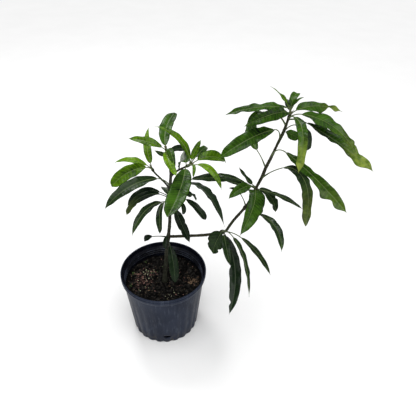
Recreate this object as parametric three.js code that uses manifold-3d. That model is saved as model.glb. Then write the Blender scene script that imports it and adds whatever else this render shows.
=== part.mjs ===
// A young mango tree in its black nursery pot. Units are millimetres, +Z is up, and the origin is
// the middle of the pot's flat underside. The trunk stands in potting mix, forks low down into one
// long bough that reaches out to +X, and ends in three twigs. Leaves grow in whorls along the wood.
import * as THREE from 'three';
import { mergeVertices } from 'three/addons/utils/BufferGeometryUtils.js';
import Module from 'manifold-3d';

const wasm = await Module();
wasm.setup();

// Clearance that neighbouring solids keep to each other.
const GAP = 0.3;

// Pot: a round tub with a ridged rim band and flutes that are deepest at the foot.
const POT_HEIGHT = 240;
const POT_RIM_RADIUS = 142;
const POT_NECK_RADIUS = 135;
const POT_FOOT_RADIUS = 112;
const POT_WALL = 2.4;
const POT_FLOOR = 4;
const BAND_HEIGHT = 21;
const FOOT_ROUNDING = 2;
const FLUTES = 24;
const FLUTE_DEPTH = 3.2;
const SEGMENTS_PER_FLUTE = 4;

// The rim band's outline, outside and then inside: inset from the rim's radius, depth below its top.
const BAND_OUTSIDE = [[2, 19.5], [0.5, 11.5], [2, 8.5], [1.2, 6], [0, 3], [1.5, 0]];
const BAND_INSIDE = [[3.5, 1], [5, 15], [8, 19]];
const BODY_ROWS = 3;

// Oval drain holes round the foot of the wall, the first of them at the front.
const DRAIN = { count: 4, first: -90, width: 25, height: 15, z: 31, reach: 20, sides: 16 };

// Potting mix: its surface lies this high, level at the trunk and lumpy further out.
const SOIL_LEVEL = 190;
const SOIL_RINGS = 7;
const SOIL_SIDES = 36;
const SOIL_LUMP = 2.5;
const SOIL_EDGE_DROP = 1.5;
const SOIL_LEVEL_RADIUS = 18;

// Wood: the points that each limb's axis runs through and its radius at both ends.
const LIMBS = {
  trunk: {
    axis: [[2, -4, 190], [9, 1, 272], [14, 0, 325], [19, 0, 367], [24, 0, 407], [28, 0, 458],
      [30, 0, 521], [33, 0, 574], [36, 0, 614]],
    radii: [6.5, 4.2],
    flare: 4,
    levelFoot: true,
  },
  bough_low: {
    axis: [[20, 0, 381], [50, -16, 393], [87, -29, 403], [131, -44, 415], [163, -54, 427],
      [192, -62, 441]],
    radii: [4.6, 4.2],
  },
  bough_mid: {
    axis: [[192, -62, 441], [211, -61, 476], [231, -60, 504], [250, -58, 530], [266, -54, 561],
      [276, -50, 589]],
    radii: [4.2, 4],
  },
  bough_top: {
    axis: [[276, -50, 589], [288, -48, 618], [297, -45, 646], [309, -42, 675], [322, -39, 711],
      [337, -35, 750], [349, -30, 795]],
    radii: [4, 3.2],
  },
  twig_left: {
    axis: [[32, 2, 556], [21, 6, 574], [5, 12, 592], [-9, 16, 607], [-18, 20, 622]],
    radii: [2.8, 2.4],
  },
  twig_mid: {
    axis: [[35, 0, 606], [32, 5, 645], [27, 9, 671], [25, 12, 686]],
    radii: [3, 2.6],
  },
  twig_right: {
    axis: [[34, 0, 602], [53, -8, 625], [72, -17, 641], [88, -25, 653]],
    radii: [3, 2.6],
  },
};
const LIMB_SIDES = 9;
const LIMB_STEP = 22;
const LIMB_MIN_STEPS = 4;
const FLARE_REACH = 30;

// Leaf: a petiole bows over from its lift, above the blade's own rise, and the blade droops and
// sweeps sideways to its tip. Slender is width over length, fold the lift of the blade's edges,
// roll turns the blade about its midrib, and taper is how far its tip is drawn out. Angles are
// degrees, lengths millimetres.
const MATURE = {
  droop: 60, petiole: 20, slender: 0.2, fold: 0.22, sweep: 0, lift: 20, roll: 0, taper: 0.7,
};
const PETIOLE_STEPS = 3;
const PETIOLE_RADIUS = 1.7;
const BLADE_STEPS = 9;
const BLADE_THICKNESS = 1 / 90;
const BLADE_MIN_THICKNESS = 1.2;
const TIP_HALF_WIDTH = 0.8;

// A leaf's rings have two sides below and two above. Those above are split like the ones under
// them, so that a twisted blade can't pass through itself.
const UNDER_SIDES = 2;
const ROLL_REACH = 1 / 3;
const BASE_BLUNTNESS = 0.5;
const TILT_JITTER = 5;

// Whorls: each is a collar round one limb between two fractions of its length, and its leaves in
// order up the limb: heading round +Z from +X, rise, length, and what differs from MATURE.
const WHORLS = {
  leaves_fork: {
    limb: 'trunk', from: 0.42, to: 0.47, seed: 11,
    leaves: [
      [-80, -25, 120, { petiole: 30, slender: 0.24, sweep: -5, lift: 25, taper: 0.5 }],
      [180, -5, 35, { droop: 55, petiole: 50, slender: 0.52, sweep: -30, lift: 25, roll: -35,
        taper: 0.4 }],
      [-130, -35, 45, { petiole: 5, slender: 0.41, sweep: 35, lift: 75, roll: 25 }],
    ],
  },
  leaves_trunk_low: {
    limb: 'trunk', from: 0.745, to: 0.82, seed: 12,
    leaves: [
      [-70, -30, 105, { droop: 30, petiole: 45, slender: 0.25, sweep: 20, lift: 75, roll: 20 }],
      [-120, 5, 110, { droop: 120, petiole: 45, slender: 0.14, sweep: 50, lift: 55 }],
      [-140, 20, 150, { droop: 65, petiole: 35, slender: 0.17, sweep: 25, lift: 5, taper: 0.8 }],
      [95, 0, 150, {}],
      [-165, 30, 130, { droop: 100, petiole: 35, slender: 0.14, sweep: 15, lift: 15, roll: -40,
        taper: 0.6 }],
      [180, 25, 110, { droop: 75, petiole: 35, slender: 0.22, sweep: 35, roll: -35 }],
      [45, -10, 140, {}],
    ],
  },
  leaves_trunk_high: {
    limb: 'trunk', from: 0.843, to: 0.904, seed: 13,
    leaves: [
      [-50, -35, 55, { droop: 120, petiole: 50, slender: 0.24, sweep: -40, lift: 35, roll: 10,
        taper: 1.1 }],
      [-45, -5, 85, { droop: 40, petiole: 60, slender: 0.24, sweep: -5, lift: 5, roll: 15, taper: 0.3 }],
      [-20, -5, 25, { droop: 70, petiole: 45, slender: 0.62, sweep: 30, lift: 5, roll: 60, taper: 0.5 }],
      [-150, 20, 180, { petiole: 65, slender: 0.18, sweep: 5, lift: 60, roll: -20 }],
      [-60, 30, 230, { droop: 55, petiole: 95, slender: 0.11, sweep: -20, lift: 10, roll: -15,
        taper: 0.9 }],
      [10, 0, 150, { droop: 25, petiole: 65, slender: 0.18, sweep: 5, roll: 30, taper: 0.6 }],
    ],
  },
  leaves_left_tip: {
    limb: 'twig_left', from: 0.86, to: 1, seed: 14,
    leaves: [
      [-165, 10, 115, { droop: 55, petiole: 25, slender: 0.31, sweep: 15, lift: 55, roll: -55,
        taper: 0.4 }],
      [170, 30, 110, { droop: 70, slender: 0.18, sweep: -20, roll: -10, taper: 1 }],
      [110, 45, 120, { droop: 20, petiole: 15, slender: 0.18, sweep: -40, taper: 1.1 }],
    ],
  },
  leaves_mid_tip: {
    limb: 'twig_mid', from: 0.7, to: 1, seed: 15,
    leaves: [
      [170, 20, 35, { droop: -5, petiole: 5, slender: 0.36, sweep: -15, lift: 0, roll: -60, taper: 1.1 }],
      [40, 10, 80, { petiole: 12, slender: 0.3, roll: 20 }],
      [-80, 35, 90, { droop: 105, petiole: 25, sweep: 5, lift: 50, taper: 1 }],
      [-95, 10, 105, { droop: 40, slender: 0.17, sweep: 35, lift: 50, taper: 0.4 }],
      [165, 25, 105, { droop: 40, petiole: 15, slender: 0.25, sweep: -20, lift: 25, roll: -30,
        taper: 0.9 }],
      [95, 15, 145, { droop: 0, petiole: 15, slender: 0.26, sweep: -40, lift: 5, taper: 0.3 }],
    ],
  },
  leaves_right_tip: {
    limb: 'twig_right', from: 0.8, to: 1, seed: 16,
    leaves: [
      [-100, -5, 200, { droop: 0, petiole: 15, slender: 0.25, sweep: -15, roll: -5, taper: 0.5 }],
      [90, 0, 135, { droop: 80, petiole: 15, slender: 0.35, sweep: 20, roll: -60 }],
      [-75, 25, 45, { droop: 105, petiole: 55, sweep: -45, lift: 15 }],
      [-40, 20, 110, { droop: 85, petiole: 35, slender: 0.16, sweep: -25, lift: 10, roll: 30,
        taper: 0.8 }],
      [15, 20, 100, { droop: 75, petiole: 30, slender: 0.35, sweep: 5, lift: 5, roll: 25, taper: 0.6 }],
      [150, 80, 140, { droop: 75, slender: 0.16, sweep: 20, lift: 40, roll: -15, taper: 1 }],
      [50, 20, 80, { droop: 45, petiole: 30, slender: 0.26, sweep: 15, lift: 0, roll: 20, taper: 0.6 }],
      [40, 55, 60, { droop: 5, petiole: 15, slender: 0.28, roll: 20 }],
    ],
  },
  leaves_low_knuckle: {
    limb: 'bough_low', from: 0.9, to: 0.97, seed: 17,
    leaves: [
      [-40, -20, 140, { droop: 35, petiole: 75, slender: 0.13, sweep: -10, lift: 60, roll: 15 }],
      [-70, -5, 180, { droop: 50, petiole: 80, slender: 0.11, sweep: -25, lift: 60, roll: -30,
        taper: 0.9 }],
      [-70, -30, 235, { droop: -5, petiole: 25, slender: 0.14, sweep: -50, lift: 65, taper: 0.6 }],
      [-90, -15, 95, { droop: 30, slender: 0.25, sweep: 10, lift: 50 }],
      [-155, -55, 85, { droop: 35, petiole: 10, slender: 0.62, sweep: -30, lift: 115, roll: -40,
        taper: 0.8 }],
    ],
  },
  leaves_mid_ring: {
    limb: 'bough_mid', from: 0.53, to: 0.6, seed: 18,
    leaves: [
      [-60, 15, 165, { droop: 30, petiole: 65, slender: 0.14, sweep: -45, lift: 0, roll: 5 }],
      [150, 55, 45, { droop: 75, petiole: 40, slender: 0.3 }],
    ],
  },
  leaves_mid_knuckle: {
    limb: 'bough_mid', from: 0.91, to: 0.97, seed: 19,
    leaves: [
      [-100, 5, 180, { droop: 30, petiole: 10, slender: 0.3, sweep: -30, lift: 65, roll: -40,
        taper: 0.9 }],
      [-155, 15, 80, { petiole: 30, slender: 0.35, lift: 65, roll: -40, taper: 0.9 }],
      [-15, -10, 90, { droop: 70, petiole: 10, slender: 0.33, sweep: -55, lift: 50, roll: 20 }],
      [-30, -5, 105, { droop: 20, petiole: 40, slender: 0.15, sweep: -5, lift: 15, roll: 15,
        taper: 0.8 }],
      [175, 15, 60, { droop: 10, petiole: 35, sweep: -10, lift: 15, roll: -45, taper: 1.1 }],
      [170, 25, 90, { droop: 40, petiole: 35, slender: 0.16, sweep: -35, lift: 5, roll: -35,
        taper: 0.4 }],
      [145, 30, 65, { droop: -20, petiole: 15, slender: 0.32, sweep: -15, lift: 0, roll: 10,
        taper: 1.1 }],
    ],
  },
  leaves_top_low: {
    limb: 'bough_top', from: 0.03, to: 0.5, seed: 20,
    leaves: [
      [-55, 35, 215, { droop: 125, petiole: 95, slender: 0.13, sweep: -60, roll: 55, taper: 0.3 }],
      [105, 10, 180, { droop: -20, petiole: 65, slender: 0.18, sweep: -60, lift: 30, roll: -15 }],
      [-65, -5, 230, { droop: 15, petiole: 75, slender: 0.14, lift: 85, roll: 25, taper: 0.5 }],
    ],
  },
  leaves_top_high: {
    limb: 'bough_top', from: 0.62, to: 0.88, seed: 21,
    leaves: [
      [-145, 10, 180, { droop: 40, petiole: 55, sweep: -15, lift: 95, roll: -35, taper: 0.5 }],
      [25, -25, 105, { droop: 70, petiole: 60, slender: 0.25, sweep: -35, lift: 95, roll: 60,
        taper: 0.3 }],
      [-20, -15, 40, { droop: 10, petiole: 5, slender: 0.61, lift: 0, roll: 65, taper: 0.4 }],
      [180, -5, 65, { droop: 120, petiole: 85, slender: 0.36, sweep: 60, lift: 75, roll: -30,
        taper: 0.3 }],
    ],
  },
  leaves_top_tip: {
    limb: 'bough_top', from: 0.93, to: 1, seed: 22,
    leaves: [
      [-30, -20, 210, { droop: 10, petiole: 50, slender: 0.16, sweep: -10, lift: 40, roll: 25,
        taper: 0.6 }],
      [-80, 10, 175, { droop: 85, petiole: 35, slender: 0.14, sweep: -40, lift: 45, roll: 25 }],
      [-35, 5, 175, { droop: 50, petiole: 40, slender: 0.26, sweep: -20, lift: 50, roll: 10,
        taper: 0.9 }],
      [-135, 25, 150, { droop: 55, sweep: -40, lift: 90, roll: -70 }],
      [-165, 15, 170, { droop: 45, petiole: 35, slender: 0.17, sweep: -40, lift: 115, roll: -20 }],
      [15, 15, 135, { droop: 40, petiole: 25, sweep: -25, lift: 45, roll: 30, taper: 1 }],
      [75, 15, 140, {}],
      [55, 75, 55, { droop: 100, petiole: 25, slender: 0.39, taper: 0.4 }],
      [140, 55, 75, { droop: 30, sweep: 15, lift: 45, taper: 1.1 }],
      [0, 65, 35, { droop: 40, petiole: 25, slender: 0.23, sweep: -25, lift: 25, roll: 20 }],
    ],
  },
};
const COLLAR_THICKNESS = 2.2;
const COLLAR_LIP = 0.9;
const COLLAR_RINGS = 4;
const COLLAR_REACH = 4;

const material = (color, roughness) => (
  new THREE.MeshStandardMaterial({ color, roughness, metalness: 0 })
);
const POT_PLASTIC = material(0x14171c, 0.5);
const POTTING_MIX = material(0x1c1612, 0.95);
const BARK = material(0x4a3a28, 0.85);
const YOUNG_BARK = material(0x2b2a1c, 0.7);
const LEAF_GREEN = material(0x1f3f16, 0.4);

const radians = (degrees) => (degrees * Math.PI) / 180;
const mix = (a, b, t) => a + (b - a) * t;

/** Numbers from 0 to 1 that are the same on every run: a multiplying generator on one seed. */
function seeded(seed) {
  const MULTIPLIER = 16807;
  const MODULUS = 2147483647;
  let state = seed * 7919;
  return () => {
    state = (state * MULTIPLIER) % MODULUS;
    return state / MODULUS;
  };
}

/**
 * A closed skin over rings of equally many points, ordered so that its faces point out. Its quads are
 * split into triangles along one diagonal, and from the side called turned on along the other.
 */
function loft(rings, turned = Infinity) {
  const count = rings[0].length;
  const points = rings.flat();
  const faces = [];
  for (let ring = 0; ring + 1 < rings.length; ring += 1) {
    for (let side = 0; side < count; side += 1) {
      const a = ring * count + side;
      const b = ring * count + ((side + 1) % count);
      if (side < turned) faces.push(a, b, b + count, a, b + count, a + count);
      else faces.push(a, b, a + count, b, b + count, a + count);
    }
  }
  const last = (rings.length - 1) * count;
  for (let side = 1; side + 1 < count; side += 1) {
    faces.push(0, side + 1, side);
    faces.push(last, last + side, last + side + 1);
  }
  return solidFrom(points, faces);
}

function solidFrom(points, faces) {
  const numbers = points.flatMap((point) => point.toArray());
  const geometry = new THREE.BufferGeometry();
  geometry.setAttribute('position', new THREE.Float32BufferAttribute(numbers, 3));
  geometry.setIndex(faces);
  return toSolid(geometry);
}

function toSolid(geometry) {
  const bare = geometry.clone();
  bare.deleteAttribute('normal');
  bare.deleteAttribute('uv');
  const merged = mergeVertices(bare, 1e-4);
  return new wasm.Manifold(new wasm.Mesh({
    numProp: 3,
    vertProperties: new Float32Array(merged.attributes.position.array),
    triVerts: new Uint32Array(merged.index.array),
  }));
}

function toGeometry(solid) {
  const { vertProperties, triVerts } = solid.getMesh();
  const geometry = new THREE.BufferGeometry();
  geometry.setAttribute('position', new THREE.Float32BufferAttribute(vertProperties, 3));
  geometry.setIndex(Array.from(triVerts));
  geometry.computeVertexNormals();
  return geometry;
}

/** A limb's axis as a curve, and its radius at each fraction of its length, with the root flare. */
function limbShape({ axis, radii, flare = 0, levelFoot = false }) {
  const points = axis.map((point) => new THREE.Vector3(...point));
  const curve = new THREE.CatmullRomCurve3(points, false, 'centripetal');
  const length = curve.getLength();
  const radiusAt = (t) => mix(radii[0], radii[1], t) + flare * Math.exp((-t * length) / FLARE_REACH);
  return { curve, length, radiusAt, levelFoot };
}

/** A round tube on a limb's axis between two fractions, drawn out past both ends by its reach. */
function tube({ curve, length, levelFoot }, from, to, radiusAt, step = LIMB_STEP, reach = 0) {
  const steps = Math.max(LIMB_MIN_STEPS, Math.ceil(((to - from) * length) / step));
  const back = new THREE.Vector3(0, 1, 0);
  const rings = [];
  for (let i = 0; i <= steps; i += 1) {
    const t = mix(from, to, i / steps);
    const tangent = t === 0 && levelFoot ? new THREE.Vector3(0, 0, 1) : curve.getTangentAt(t);
    const end = i === 0 ? -1 : Number(i === steps);
    const centre = curve.getPointAt(t).addScaledVector(tangent, end * reach);
    const across = new THREE.Vector3().crossVectors(back, tangent).normalize();
    const along = new THREE.Vector3().crossVectors(tangent, across);
    const radius = radiusAt(t);
    rings.push(Array.from({ length: LIMB_SIDES }, (_, side) => {
      const turn = (2 * Math.PI * side) / LIMB_SIDES;
      return centre.clone()
        .addScaledVector(across, radius * Math.cos(turn))
        .addScaledVector(along, radius * Math.sin(turn));
    }));
  }
  return loft(rings);
}

/** A leaf's spine: points, headings and elevations from inside the wood to the tip. */
function spine(root, [heading, rise, length, differs]) {
  const { droop, petiole, lift, sweep } = { ...MATURE, ...differs };
  const stations = [];
  const point = root.clone();
  const advance = (distance, turn, elevation) => {
    point.x += distance * Math.cos(elevation) * Math.cos(turn);
    point.y += distance * Math.cos(elevation) * Math.sin(turn);
    point.z += distance * Math.sin(elevation);
  };
  for (let i = 0; i < PETIOLE_STEPS; i += 1) {
    const elevation = radians(rise + lift * (1 - (i + 0.5) / PETIOLE_STEPS));
    stations.push({ point: point.clone(), turn: radians(heading), elevation, blade: 0 });
    advance(petiole / PETIOLE_STEPS, radians(heading), elevation);
  }
  for (let i = 0; i <= BLADE_STEPS; i += 1) {
    const s = i / BLADE_STEPS;
    const turn = radians(heading + sweep * s);
    stations.push({ point: point.clone(), turn, elevation: radians(rise - droop * s), blade: s });
    const middle = s + 0.5 / BLADE_STEPS;
    advance(length / BLADE_STEPS, radians(heading + sweep * middle), radians(rise - droop * middle));
  }
  return stations;
}

/** Half the blade's width as a part of its greatest: blunt at the base, drawn out by its taper. */
function bladeOutline(s, taper) {
  const outline = (place) => place ** BASE_BLUNTNESS * (1 - place) ** taper;
  const widest = BASE_BLUNTNESS / (BASE_BLUNTNESS + taper);
  return outline(s) / outline(widest);
}

/** One leaf as a closed solid: a thin petiole that opens into a blade folded along its midrib. */
function leaf(root, row, random) {
  const [, , length, differs] = row;
  const { slender, fold, roll, taper } = { ...MATURE, ...differs };
  const thickness = Math.max(length * BLADE_THICKNESS, BLADE_MIN_THICKNESS);
  const tilt = radians(roll + mix(-TILT_JITTER, TILT_JITTER, random()));
  const rings = spine(root, row).map(({ point, turn, elevation, blade }) => {
    const forward = new THREE.Vector3(
      Math.cos(elevation) * Math.cos(turn),
      Math.cos(elevation) * Math.sin(turn),
      Math.sin(elevation),
    );
    const level = new THREE.Vector3(-Math.sin(turn), Math.cos(turn), 0);
    const side = level.applyAxisAngle(forward, tilt * Math.min(1, blade / ROLL_REACH));
    const above = new THREE.Vector3().crossVectors(forward, side);
    const open = Math.max(PETIOLE_RADIUS, (bladeOutline(blade, taper) * length * slender) / 2);
    const half = blade === 1 ? TIP_HALF_WIDTH : open;
    const crest = blade > 0 ? thickness / 2 : PETIOLE_RADIUS;
    const lifted = half > PETIOLE_RADIUS ? fold * half : 0;
    return [
      point.clone().addScaledVector(side, -half).addScaledVector(above, lifted),
      point.clone().addScaledVector(above, -crest),
      point.clone().addScaledVector(side, half).addScaledVector(above, lifted),
      point.clone().addScaledVector(above, crest),
    ];
  });
  return loft(rings, UNDER_SIDES);
}

/** A whorl: its collar and leaves fused, and cut clear of every limb by the gap. */
function whorl({ limb, from, to, seed, leaves }, shapes, clearance) {
  const shape = shapes[limb];
  const swell = (t) => {
    const middle = Math.sin((Math.PI * (t - from)) / (to - from));
    return shape.radiusAt(t) + GAP + COLLAR_LIP + COLLAR_THICKNESS * middle;
  };
  const random = seeded(seed);
  const step = ((to - from) * shape.length) / COLLAR_RINGS;
  let mass = tube(shape, from, to, swell, step, COLLAR_REACH);
  leaves.forEach((row, index) => {
    const place = mix(from, to, (index + 0.5) / leaves.length);
    mass = mass.add(leaf(shape.curve.getPointAt(place), row, random));
  });
  return clearance.reduce((cut, limbSolid) => cut.subtract(limbSolid), mass);
}

/** Radius of the pot's body at a height, from a flute's crest (groove 0) to its groove (1). */
function potRadius(z, groove) {
  const neck = POT_HEIGHT - BAND_HEIGHT;
  const plain = mix(POT_FOOT_RADIUS, POT_NECK_RADIUS, z / neck);
  return plain - groove * FLUTE_DEPTH * (1 - z / neck);
}

/** The pot: one skin that runs up the fluted outside, over the rim band and down the inside. */
function pot() {
  const neck = POT_HEIGHT - BAND_HEIGHT;
  const inner = (z) => [potRadius(z, 1) - POT_WALL, z];
  const band = ([inset, depth]) => () => [POT_RIM_RADIUS - inset, POT_HEIGHT - depth];
  const rows = [
    () => [potRadius(0, 1) - 2 * FOOT_ROUNDING, 0],
    (groove) => [potRadius(0, groove) - FOOT_ROUNDING, 0],
  ];
  for (let row = 0; row <= BODY_ROWS; row += 1) {
    const z = mix(FOOT_ROUNDING, neck, row / BODY_ROWS);
    rows.push((groove) => [potRadius(z, groove), z]);
  }
  rows.push(...BAND_OUTSIDE.map(band), ...BAND_INSIDE.map(band));
  rows.push(() => inner(neck - POT_FLOOR), () => inner(SOIL_LEVEL), () => inner(POT_FLOOR));
  const sides = FLUTES * SEGMENTS_PER_FLUTE;
  const shell = loft(rows.map((row) => Array.from({ length: sides }, (_, side) => {
    const turn = (2 * Math.PI * side) / sides;
    const [radius, z] = row((1 - Math.cos(FLUTES * turn)) / 2);
    return new THREE.Vector3(radius * Math.cos(turn), radius * Math.sin(turn), z);
  })));
  return drainCutters().reduce((cut, cutter) => cut.subtract(cutter), shell);
}

/** Oval plugs that cut the drain holes out of the pot's wall, just above its floor. */
function drainCutters() {
  return Array.from({ length: DRAIN.count }, (_, index) => {
    const plug = new THREE.CylinderGeometry(0.5, 0.5, DRAIN.reach, DRAIN.sides);
    plug.scale(DRAIN.height, 1, DRAIN.width);
    plug.rotateZ(Math.PI / 2);
    plug.rotateX(Math.PI / 2);
    const turn = radians(DRAIN.first + (index * 360) / DRAIN.count);
    plug.translate(potRadius(DRAIN.z, 0), 0, DRAIN.z);
    plug.rotateZ(turn);
    return toSolid(plug);
  });
}

/** The potting mix: a plug that fills the pot, with a lumpy top that is level at the trunk. */
function soil() {
  const SOIL_SEED = 3;
  const random = seeded(SOIL_SEED);
  const wall = (z) => potRadius(z, 1) - POT_WALL - GAP;
  const ringAt = (radius, z) => Array.from({ length: SOIL_SIDES }, (_, side) => {
    const turn = (2 * Math.PI * side) / SOIL_SIDES;
    return new THREE.Vector3(radius * Math.cos(turn), radius * Math.sin(turn), z);
  });
  const bottom = POT_FLOOR + GAP;
  const edge = SOIL_LEVEL - SOIL_EDGE_DROP;
  const rings = [ringAt(wall(bottom), bottom), ringAt(wall(edge), edge)];
  for (let ring = 1; ring < SOIL_RINGS; ring += 1) {
    const inward = ring / (SOIL_RINGS - 1);
    const lump = inward < 1 ? SOIL_LUMP : 0;
    const flat = ringAt(mix(wall(edge), SOIL_LEVEL_RADIUS, inward), SOIL_LEVEL - GAP);
    rings.push(flat.map((point) => point.setZ(point.z - lump * random())));
  }
  return loft(rings);
}

const group = new THREE.Group();
const place = (name, solid, look) => {
  const mesh = new THREE.Mesh(toGeometry(solid), look);
  mesh.name = name;
  group.add(mesh);
};

place('pot', pot(), POT_PLASTIC);
place('soil', soil(), POTTING_MIX);

// Each limb is cut clear of the ones before it, and each whorl of all of them.
const shapes = Object.fromEntries(
  Object.entries(LIMBS).map(([name, limb]) => [name, limbShape(limb)]),
);
const clearance = [];
for (const [name, shape] of Object.entries(shapes)) {
  const solid = clearance.reduce(
    (cut, earlier) => cut.subtract(earlier),
    tube(shape, 0, 1, shape.radiusAt),
  );
  place(name, solid, name === 'trunk' ? BARK : YOUNG_BARK);
  clearance.push(tube(shape, 0, 1, (t) => shape.radiusAt(t) + GAP, LIMB_STEP, GAP));
}
for (const [name, row] of Object.entries(WHORLS)) {
  place(name, whorl(row, shapes, clearance), LEAF_GREEN);
}

export default group;
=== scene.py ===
"""The looks of a young mango tree in its black nursery pot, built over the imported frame.

Sizes are named in millimetres, as the part's are, and become metres when a mesh is made. Limbs and
leaves grow by the part's own rule, in finer steps: a limb is a round tube on a smooth curve, and a
leaf is a petiole that bows over into a blade, which droops and sweeps to its tip. The angles of
leaves, drain holes, the camera and the sun are degrees, and all others are radians. A heading is
counted round +Z from +X.
"""
import math

import bpy
import numpy as np
from mathutils import Matrix, Vector, noise


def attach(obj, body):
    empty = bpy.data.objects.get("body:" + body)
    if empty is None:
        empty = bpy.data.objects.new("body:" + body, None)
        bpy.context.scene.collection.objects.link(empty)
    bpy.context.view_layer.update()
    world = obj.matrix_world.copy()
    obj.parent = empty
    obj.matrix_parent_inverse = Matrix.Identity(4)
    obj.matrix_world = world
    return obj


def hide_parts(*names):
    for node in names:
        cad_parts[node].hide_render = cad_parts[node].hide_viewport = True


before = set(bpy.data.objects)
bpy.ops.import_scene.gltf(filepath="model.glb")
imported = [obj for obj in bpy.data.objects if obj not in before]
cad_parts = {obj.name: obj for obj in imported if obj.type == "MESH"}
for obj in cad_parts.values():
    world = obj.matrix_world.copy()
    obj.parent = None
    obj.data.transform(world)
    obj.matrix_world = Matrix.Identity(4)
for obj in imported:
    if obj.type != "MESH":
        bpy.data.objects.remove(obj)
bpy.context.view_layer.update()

MM = 0.001
TURN = 2 * math.pi
GOLDEN_ANGLE = math.radians(137.5)

# Pot, with the part's sizes.
POT_HEIGHT = 240
POT_RIM_RADIUS = 142
POT_NECK_RADIUS = 135
POT_FOOT_RADIUS = 112
POT_WALL = 2.4
POT_FLOOR = 4
BAND_HEIGHT = 21
NECK_Z = POT_HEIGHT - BAND_HEIGHT
FOOT_ROUNDING = 2
FLUTES = 24
FLUTE_DEPTH = 3.2
FLUTE_SHARPNESS = 1.6
SEGMENTS_PER_FLUTE = 12
DRAIN_COUNT = 4
DRAIN_FIRST = -90
DRAIN_WIDTH = 25
DRAIN_HEIGHT = 15
DRAIN_Z = 31
DRAIN_SIDES = 28
DRAIN_REACH = 14

# Underside: the pot stands on a ring round its foot, and the floor is raised within it. Both sides
# of the floor close with one middle face. The foot's rounding has one row on its corner.
STANDING_RING = 11
STANDING_SLOPE = 3
CORNER_CUT = 0.3
UNDERSIDE_RISE = 1.2
FLOOR_CENTRE = 20

# Rows of the pot's wall: those of the body crowd towards the foot, and those of the inside are even
# steps from under the band to below the mix's surface.
BODY_ROWS = 26
BODY_CROWDING = 1.15
BODY_TOP = NECK_Z - 1.6
INSIDE_TOP = NECK_Z - 2
INSIDE_STEP = 0.8
INSIDE_BELOW_SOIL = 12

# Rim band, outside and then inside: inset from the rim's radius and depth below its top.
BAND_OUTSIDE = [
    (4.2, 22.4), (2.4, 21.6), (1.9, 20.6), (1.6, 18.5), (0.9, 14.5), (0.5, 12.6), (0.5, 11.2),
    (1.0, 10.2), (2.0, 9.4), (2.2, 8.4), (1.8, 7.0), (1.1, 6.2), (0.3, 5.2), (0.0, 3.6),
    (0.1, 1.8), (0.6, 0.6), (1.5, 0.0),
]
BAND_INSIDE = [(3.0, 0.2), (3.8, 1.0), (4.4, 3.0), (4.9, 12.0), (5.4, 15.5), (7.0, 18.0),
               (8.0, 19.5)]

# Ribs round the inside: their heights, how far they stand out and reach, and their crest's painted
# highlight.
RIB_HEIGHTS = [214.5, 206.5, 198.5]
RIB_DEPTH = 2.4
RIB_REACH = 1.3
RIB_CREST = 0.7

# Potting mix: its lumps and grains, and where it grows calm by the trunk and drops by the wall.
SOIL_LEVEL = 190
SOIL_SINKING = 1.6
SOIL_RINGS = 44
SOIL_SIDES = 160
SOIL_CENTRE = 0.015
LUMP_HEIGHT = 4.2
LUMP_SIZE = 22
LUMP_SLICE = 3.1
LUMP_FRACTAL = (0.7, 2.1, 5)
GRAIN_HEIGHT = 2.2
GRAIN_SIZE = 5
GRAIN_SLICE = 8.4
SOIL_CALM = (12, 30)
SOIL_EDGE = (108, 124)
SOIL_EDGE_DROP = 1.5
GAP = 0.3
SOIL_FOOT_GAP = 2
SOIL_FOOT_CENTRE = 0.2

# What lies on the mix, clear of the trunk and the wall. A shard's corners keep at least these parts
# of its sizes. Its width is a part of its length, and so are a grain's thickness and the breadth of
# a seedling's leaf. A swelling has its start and its span on a sine's half wave, and its rings.
TRUNK_CLEARANCE = 15
SHARD_CORNERS = (0.55, 0.45, 0.6)
SHARD_LIFT = 0.35
CHIP_SEED = 50
CHIP_REACH = 121
CHIP_WIDTHS = (0.3, 0.7)
CHIP_THICKNESS = (0.8, 2.0)
CHIP_FINENESS = 1.4
CHIP_TILT = 0.5
PATCH_SHARE = 0.72
PERLITE_SEED = 71
PERLITE_REACH = 120
GRAIN_LENGTHS = (1.4, 4.4)
GRAIN_WIDTHS = (0.6, 1)
GRAIN_THICKNESS = (0.6, 0.9)
GRAIN_FINENESS = 1.5
GRAIN_TILT = 1.4
SPROUT_SEED = 83
SPROUT_REACH = 118
SPROUT_HEIGHTS = (1.5, 4.5)
SPROUT_STEM = 0.3
SPROUT_SIDES = 5
SPROUT_RINGS = (-0.2, 0.5, 1)
SPROUT_LIFT = 0.5
SPROUT_LEAVES = (1.6, 3.2)
SPROUT_BREADTH = 0.42
SPROUT_RISE = 0.25
SPROUT_TIP = 0.1
SPROUT_SWELLING = (0.1, 0.85, 5)

# Chips: how many, their least and greatest length, the two colours they blend, and the patch that
# holds most of them, as x, y and reach.
CHIPS = {
    "chips_dark": (1200, (4, 18), (0.001, 0.001, 0.001), (0.034, 0.031, 0.028), None),
    "chips_brown": (150, (4, 14), (0.008, 0.007, 0.005), (0.115, 0.092, 0.064), None),
    "chips_red": (270, (4, 13), (0.006, 0.004, 0.004), (0.240, 0.135, 0.112), (-72, 12, 52)),
    "chips_tan": (70, (4, 13), (0.030, 0.019, 0.012), (0.300, 0.200, 0.130), (96, -14, 22)),
}

# Spots of perlite and of seedlings: x, y, reach and how many.
PERLITE = [(-58, 44, 16, 22), (-48, 30, 26, 10), (10, -74, 14, 9), (-60, 10, 50, 16),
           (30, -70, 40, 6), (-84, -20, 34, 8)]
SPROUTS = [(-71, 98, 16, 9), (-108, 40, 14, 7), (-112, -14, 12, 6), (-20, 60, 50, 6)]

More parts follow.
